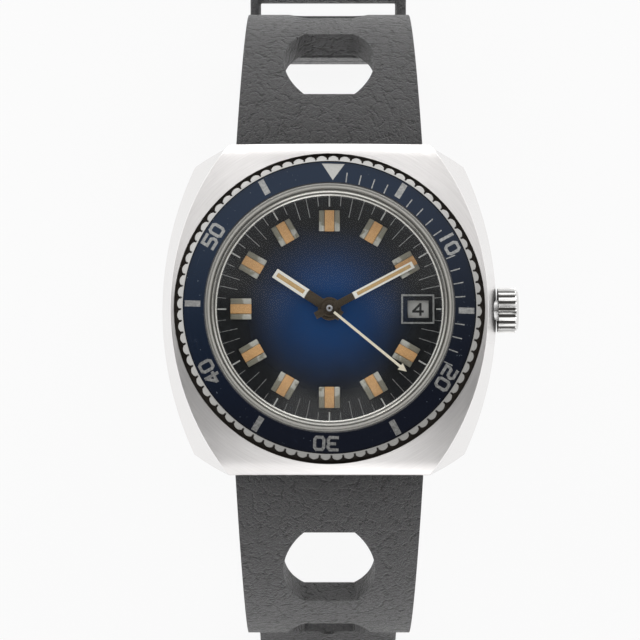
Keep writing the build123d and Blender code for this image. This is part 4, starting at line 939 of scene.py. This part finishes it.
def case_column(angle):
    """Radius and height of each row of the skin on one ray in the first quarter."""
    if angle >= END_ANGLE:
        rim = edge = HALF_LENGTH / sin(angle)
        turn = END_ROUND
    else:
        rim = ray_to_circle(*(FLANK if angle < CORNER_ANGLE else CORNER_ARC), angle)
        edge = min(rim, ray_to_circle((FACET_CENTRE, 0), FACET_RADIUS, angle))
        turn = EDGE_ROUND
    lip, last = OPENING + EDGE_ROUND, edge - turn
    between = [lip + (last - lip) * k / TOP_ROWS for k in range(1, TOP_ROWS)]
    radii = [lip, lip + SUPPORT] + between + [last - SUPPORT]
    top = [(r, top_height(r, angle)) for r in radii]
    start, crest = (Vector((r, top_height(r, angle))) for r in (last, edge))
    foot = Vector((rim, WIDEST_Z))
    down = (foot - crest).normalized()
    stop = crest + down * turn
    curve = []
    for k in range(CURVE_STEPS + 1):
        share = k / CURVE_STEPS
        curve.append(tuple(start * (1 - share) ** 2 + crest * 2 * share * (1 - share) + stop * share**2))
    wall = [(OPENING + WALL_TUCK[0], WALL_LOW - WALL_TUCK[1]), (OPENING, WALL_LOW)]
    wall.append((OPENING, top[0][1] - EDGE_ROUND))
    side = [tuple(stop + down * SUPPORT), tuple(foot - down * SUPPORT), tuple(foot)]
    return wall + top + curve + side + [(rim - RIM_TUCK[0], WIDEST_Z - RIM_TUCK[1])]


def case_skin():
    """The four quarters mirror each other, so each takes the same rays, forwards or backwards."""
    steps = int(90 / RAY_STEP)
    own = sorted([radians(RAY_STEP * k) for k in range(steps + 1)] + [CORNER_ANGLE, END_ANGLE])
    columns = []
    for quarter in range(4):
        forwards = quarter % 2 == 0
        for angle in own[:-1] if forwards else own[:0:-1]:
            turn = quarter * pi / 2 + (angle if forwards else pi / 2 - angle)
            columns.append(round_axis(case_column(angle), turn))
    return smooth(tidy(grid("case_skin", columns)), 24)


skin = settle(case_skin(), "case", "case")
print("case skin faces:", len(skin.data.polygons))

# %% [markdown]
# Under the skin the case keeps its own solid for the bore, the slots and the back. A copy of it is drawn in
# where the skin covers it, so that the two never fight for the same place, and the wall of its opening moves
# out behind the skin's.

# %% Case body, case back and crown
case_body = refined("case_body", "mid_case")
SKIN_GAP, WALL_GAP = 0.45, 0.1
for vert in case_body.data.vertices:
    x, y, z = (c / MM for c in vert.co)
    radius = hypot(x, y)
    if z > WIDEST_Z + 0.3 and radius > OPENING - WALL_GAP:
        share = 1 - SKIN_GAP / radius if radius > OPENING + 0.3 else 1 + WALL_GAP / radius
        vert.co = Vector((x * share, y * share, z - SKIN_GAP * (z > CREST_Z - 0.5))) * MM
settle(case_body, "case", "case", "mid_case")
settle(refined("crown_knob", "crown", 0.05), "crown", "crown", "crown")
settle(refined("back_cover", "case_back", 0.06), "case", "brushed", "case_back")
print("case body faces:", len(case_body.data.polygons))

# %% [markdown]
# ## The crystal and its ring
# The dome is clear acrylic, pressed over a steel ring whose turned steps show through it as bright circles.
# The same circles are frosted into its skirt. Both pieces are plain turned shapes, so a lathe makes them with
# enough steps to look round.

# %% Crystal and tension ring
CRYSTAL_RADIUS, SEAT_Z, SHOULDER_Z, APEX_Z = 14.35, 8.95, 10.95, 12.95
RING_RADIUS, RING_TOP, VIEW_RADIUS, INNER_APEX = 14.08, 10.0, 13.05, 11.5


def dome(edge_radius, edge_z, apex_z, steps):
    """Points of a spherical dome from its edge to its apex."""
    rise = apex_z - edge_z
    sphere = (edge_radius**2 + rise**2) / (2 * rise)
    radii = [edge_radius * (1 - k / steps) for k in range(steps + 1)]
    return [(radius, apex_z - sphere + sqrt(sphere**2 - radius**2)) for radius in radii]


SHOULDER, SHOULDER_RISE, RING_ROOM, DOME_ROWS = 0.35, 0.08, 0.02, 24
curve_z = SHOULDER_Z + SHOULDER_RISE - SHOULDER
outer = [(CRYSTAL_RADIUS, SEAT_Z)]
for lean in (radians(15 * k) for k in range(6)):
    outer.append((CRYSTAL_RADIUS - SHOULDER * (1 - cos(lean)), curve_z + SHOULDER * sin(lean)))
outer += dome(CRYSTAL_RADIUS - SHOULDER, SHOULDER_Z + SHOULDER_RISE, APEX_Z, DOME_ROWS)
inner = list(reversed(dome(VIEW_RADIUS, RING_TOP + RING_ROOM, INNER_APEX, DOME_ROWS)))
skirt = [(RING_RADIUS + RING_ROOM, RING_TOP + RING_ROOM), (RING_RADIUS + RING_ROOM, SEAT_Z)]
settle(smooth(lathe("crystal_dome", outer + inner + skirt), 40), "case", "acrylic", "crystal")

ring_steps = [(0, 0), (0.22, 0), (0.26, 0.12), (0.5, 0.16), (0.54, 0.3), (0.74, 0.36), (0.78, 0.52)]
ring_profile = [(VIEW_RADIUS, SEAT_Z), (RING_RADIUS, SEAT_Z)]
ring_profile += [(RING_RADIUS - inwards, RING_TOP - down) for inwards, down in ring_steps]
ring_profile.append((VIEW_RADIUS + 0.02, RING_TOP - 0.72))
settle(smooth(lathe("bright_ring", ring_profile), 12), "case", "ring", "tension_ring")

# %% [markdown]
# ## Dial furniture
# Sixty printed lines ring the dial: the fives are thick, their neighbours thin, and the ones between reach
# further in. Eleven square blocks stand at the hours, each cut along its middle for a stripe of lume, and
# three o'clock has the date window instead.

# %% Minute track
DIAL_TOP = 7.35
PRINT = (DIAL_TOP - 0.02, DIAL_TOP + 0.012)
TRACK_RADIUS, THICK_LINE, THIN_LINE = 13.02, 0.16, 0.07


def track_lines(name, inner, width, count, finish, **turns):
    """Printed lines that reach inwards from the edge of the track."""
    return copies_round(plate(name, bar_outline(inner, TRACK_RADIUS, width), *PRINT), count, finish, **turns)


track = [
    track_lines("five_lines", 12.0, THICK_LINE, 12, "white", missing=3),
    track_lines("three_mark", 12.45, THICK_LINE, 1, "white", start=90),
]
settle(joined("five_minute_track", track), "case", "white")
thin_track = [
    track_lines("thin_lines", inner, THIN_LINE, 12, "silver", start=start)
    for inner, start in ((12.1, 6), (12.1, 24), (10.95, 12), (10.95, 18))
]
settle(joined("minute_track", thin_track), "case", "silver")

# %% Hour blocks and their lume
MARKER_DISTANCE, MARKER_SIZE, MARKER_HEIGHT, LUME_WIDTH = 10.3, 2.45, 0.45, 1.1


def block(name, left, right, height, rounding):
    """A block with rounded upper edges, at twelve o'clock."""
    near, far = MARKER_DISTANCE - MARKER_SIZE / 2, MARKER_DISTANCE + MARKER_SIZE / 2
    outline = [(left, near), (right, near), (right, far), (left, far)]
    piece = plate(name, outline, DIAL_TOP - 0.01, DIAL_TOP + height)
    edge = piece.modifiers.new("edge", "BEVEL")
    edge.width, edge.segments = rounding * MM, 2
    return flatten(piece)


sides = joined(
    "hour_blocks",
    [
        block("left_side", -MARKER_SIZE / 2, -LUME_WIDTH / 2 - 0.01, MARKER_HEIGHT, 0.1),
        block("right_side", LUME_WIDTH / 2 + 0.01, MARKER_SIZE / 2, MARKER_HEIGHT, 0.1),
    ],
)
copies_round(sides, 12, "frosted", missing=3)
settle(smooth(sides, 50), "case", "frosted", "hour_markers")
stripe = block("hour_lume", -LUME_WIDTH / 2, LUME_WIDTH / 2, MARKER_HEIGHT + 0.05, 0.06)
copies_round(stripe, 12, "marker_lume", missing=3)
settle(smooth(stripe, 50), "case", "marker_lume", "marker_lume")

# %% Date numbers
DISC_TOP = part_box("date_disc")[1].z / MM
DATE_NOW, DATE_COUNT, DATE_RADIUS = 4, 31, 10.33
SINGLE_DIGIT, PAIRED_DIGIT = (1.36, 1.5, 0.27), (0.95, 1.5, 0.2)
dates = [
    number(
        str(day), *(PAIRED_DIGIT if day > 9 else SINGLE_DIGIT), DATE_RADIUS,
        (day - DATE_NOW) * 360 / DATE_COUNT, DISC_TOP - 0.02, DISC_TOP + 0.01, upright=True,
    )
    for day in range(1, DATE_COUNT + 1)
]
settle(joined("date_numbers", dates), "date", "ink")

# %% [markdown]
# ## Hands
# The hour and minute hands are stamped bars: a dark stem, then an off-white blade with a slot of lume. The
# seconds hand is a cream needle with an arrow head. Their solids have the right outlines, so each is copied
# and gets rounded edges.

# %% Hands
for node, body, slot, finish in (
    ("hour_hand", "hour", "hand_paint", "hands"), ("minute_hand", "minute", "hand_paint", "hands"),
    ("hour_hand_lume", "hour", "lume", "hand_lume"), ("minute_hand_lume", "minute", "lume", "hand_lume"),
    ("seconds_hand", "seconds", "cream_paint", "cream"),
):
    settle(refined(node + "_finished", node, 0.03), body, finish, node)
hub_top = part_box("seconds_hand")[1].z / MM
PIPE_BORE, PIPE_RADIUS = 0.15, 0.36
pipe_profile = [(PIPE_BORE, -0.1), (PIPE_RADIUS, -0.1), (PIPE_RADIUS, 0.01), (0.32, 0.03), (PIPE_BORE, 0.03)]
pipe = lathe("seconds_pipe", [(radius, hub_top + rise) for radius, rise in pipe_profile], 36)
settle(smooth(pipe), "seconds", "ground")

# %% [markdown]
# ## Strap and buckle
# Both halves of the strap are moulded rubber, so every edge is rounded and the skin has a leather grain.
# The keepers are loops of the same rubber. The buckle is a bent steel frame with a tongue.

# %% Strap, keepers and buckle
for node, body, rounding in (
    ("strap_12", "upper_strap", 0.45), ("strap_6", "lower_strap", 0.45),
    ("fixed_keeper", "upper_strap", 0.25), ("floating_keeper", "keeper", 0.25),
):
    settle(refined(node + "_skin", node, rounding, 3, 38), body, "rubber", node)
for node, body in (("buckle_frame", "buckle"), ("buckle_tongue", "tongue")):
    settle(refined(node + "_finished", node, 0.22, 3, 35), body, "brushed", node)

# %% [markdown]
# ## The pieces that keep their solids
# What is left is right as it is: the dial, flat plates, wheels and pins. Each only takes a finish.

# %% Finishes on the other solids
kept = {
    "dial": ["dial"],
    "silver": ["date_frame"],
    "date": ["date_disc"],
    "brushed": ["crown_tube", "spring_bar_12", "spring_bar_6", "buckle_bar"],
    "seal": ["crown_gasket", "case_back_gasket"],
    "brass": [
        "movement_ring", "main_plate", "train_bridge", "balance_cock", "centre_wheel", "third_wheel",
        "seconds_wheel", "hour_wheel", "minute_wheel", "mainspring_barrel", "balance_wheel",
    ],
    "ground": [
        "winding_stem", "bezel_snap_ring", "bezel_click_spring", "cannon_pinion", "escape_wheel",
        "pallet_fork", "rotor", "rotor_screw", "bridge_screws",
    ],
}
for finish, nodes in kept.items():
    for node in nodes:
        coat(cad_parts[node], finish)
print("solids kept:", sum(len(nodes) for nodes in kept.values()))

# %% [markdown]
# ## Studio
# A watch is shot from straight above on a white table. The table here is pale and keeps a soft shadow, and
# the camera, metal and glass see it nearly white. Steel only looks like steel when it has something uneven
# to reflect, so the white sky has soft spots: a dark hood where the camera would hang, a dark patch on
# either side and a brighter one towards each end of the watch. Three weak soft boxes add small glints.

# %% Floor
SPAN, FLOOR_Z, WHITENESS = 3000.0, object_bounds()[0][2] / MM, 0.87
corners = [(x * SPAN, y * SPAN, FLOOR_Z) for x, y in ((-1, -1), (1, -1), (1, 1), (-1, 1))]
table = from_points("table", corners, [(0, 1, 2, 3)])


def paper():
    finish = Finish("white_paper", (0.78, 0.78, 0.78), 0.9)
    rays = finish.node("ShaderNodeLightPath").socket.node.outputs
    seen = rays["Is Camera Ray"]
    for kind in ("Is Glossy Ray", "Is Transmission Ray"):
        seen = finish.maths("MAXIMUM", seen, rays[kind])
    white = finish.node("ShaderNodeEmission", {}, {0: (1, 1, 1, 1), 1: 1.0})
    body = finish.shader.outputs[0]
    finish.show(finish.node("ShaderNodeMixShader", {}, {0: seen * WHITENESS, 1: body, 2: white}))
    return finish


table.data.materials.append(paper().material)
print("floor height, mm:", round(FLOOR_Z, 1))

# %% Sky and soft boxes
# A spot is a direction, the angles where it starts and stops fading, and what it multiplies the sky by.
SKY_STRENGTH = 1.12
SKY_SPOTS = [
    ((0.0, -0.1, 0.99), 11, 18, 0.12),
    ((0.0, 0.28, 0.96), 6, 30, 0.5),
    ((0.5, -0.18, 0.85), 12, 23, 0.05),
    ((-0.5, -0.18, 0.85), 12, 23, 0.05),
    ((0.0, 0.99, 0.12), 8, 28, 2.0),
    ((0.0, -0.46, 0.88), 9, 26, 1.4),
]
world = bpy.data.worlds.new("sky")
bpy.context.scene.world = world
world.use_nodes = True
sky = Graph(world.node_tree)
heading = sky.node("ShaderNodeTexCoord")
strength = SKY_STRENGTH
for place, inner_angle, outer_angle, level in SKY_SPOTS:
    nearness = sky.node(
        "ShaderNodeVectorMath", {"operation": "DOT_PRODUCT"}, {0: heading, 1: Vector(place).normalized()},
        output="Value",
    )
    strength *= sky.node(
        "ShaderNodeMapRange", {"interpolation_type": "SMOOTHSTEP"},
        {0: nearness, 1: cos(radians(outer_angle)), 2: cos(radians(inner_angle)), 3: 1.0, 4: level},
    )
light = sky.node("ShaderNodeBackground", {}, {0: (1, 1, 1, 1), 1: strength})
white = sky.node("ShaderNodeBackground", {}, {0: (1, 1, 1, 1), 1: 1.0})
seen = sky.node("ShaderNodeLightPath", output="Is Camera Ray")
whole = sky.node("ShaderNodeMixShader", {}, {0: seen, 1: light, 2: white})
sky.feed(world.node_tree.nodes["World Output"].inputs[0], whole)

# A soft box has a place and a size in metres, and faces the middle of the case.
for name, place, size, power in (
    ("box_eleven", (-0.46, 0.9, 0.36), 0.3, 1.2), ("box_one", (0.45, 0.9, 0.36), 0.3, 1.2),
    ("box_six", (0.2, -0.95, 0.4), 0.5, 0.7),
):
    lamp = bpy.data.lights.new(name, "AREA")
    lamp.shape, lamp.size, lamp.energy = "SQUARE", size, power
    holder = bpy.data.objects.new(name, lamp)
    bpy.context.scene.collection.objects.link(holder)
    holder.location = place
    holder.rotation_euler = (-Vector(place)).to_track_quat("-Z", "Y").to_euler()
print("lights:", len(bpy.data.lights), "sky spots:", len(SKY_SPOTS))

# %% [markdown]
# ## Camera
# The photograph was taken from nearly straight above, tipped a few degrees towards six o'clock, from about
# 350 mm. The field of view then gives 8.6 pixels for a millimetre at the case.

# %% Camera
TARGET = Vector((-1.095, -1.28, 7.5)) * MM
ELEVATION, DISTANCE, FIELD = 86.3, 350.0, 12.145
lens = bpy.data.cameras.new("camera")
lens.sensor_fit, lens.sensor_width = "HORIZONTAL", 36.0
lens.lens = lens.sensor_width / (2 * tan(radians(FIELD / 2)))
lens.clip_start, lens.clip_end = 0.01, 20.0
camera = bpy.data.objects.new("camera", lens)
bpy.context.scene.collection.objects.link(camera)
direction = Vector((0, -cos(radians(ELEVATION)), sin(radians(ELEVATION))))
camera.location = TARGET + direction * DISTANCE * MM
camera.rotation_euler = (radians(90 - ELEVATION), 0, 0)
bpy.context.scene.camera = camera
bpy.context.scene.view_settings.view_transform = "Standard"
print("camera height, mm:", round(camera.location.z / MM, 1))
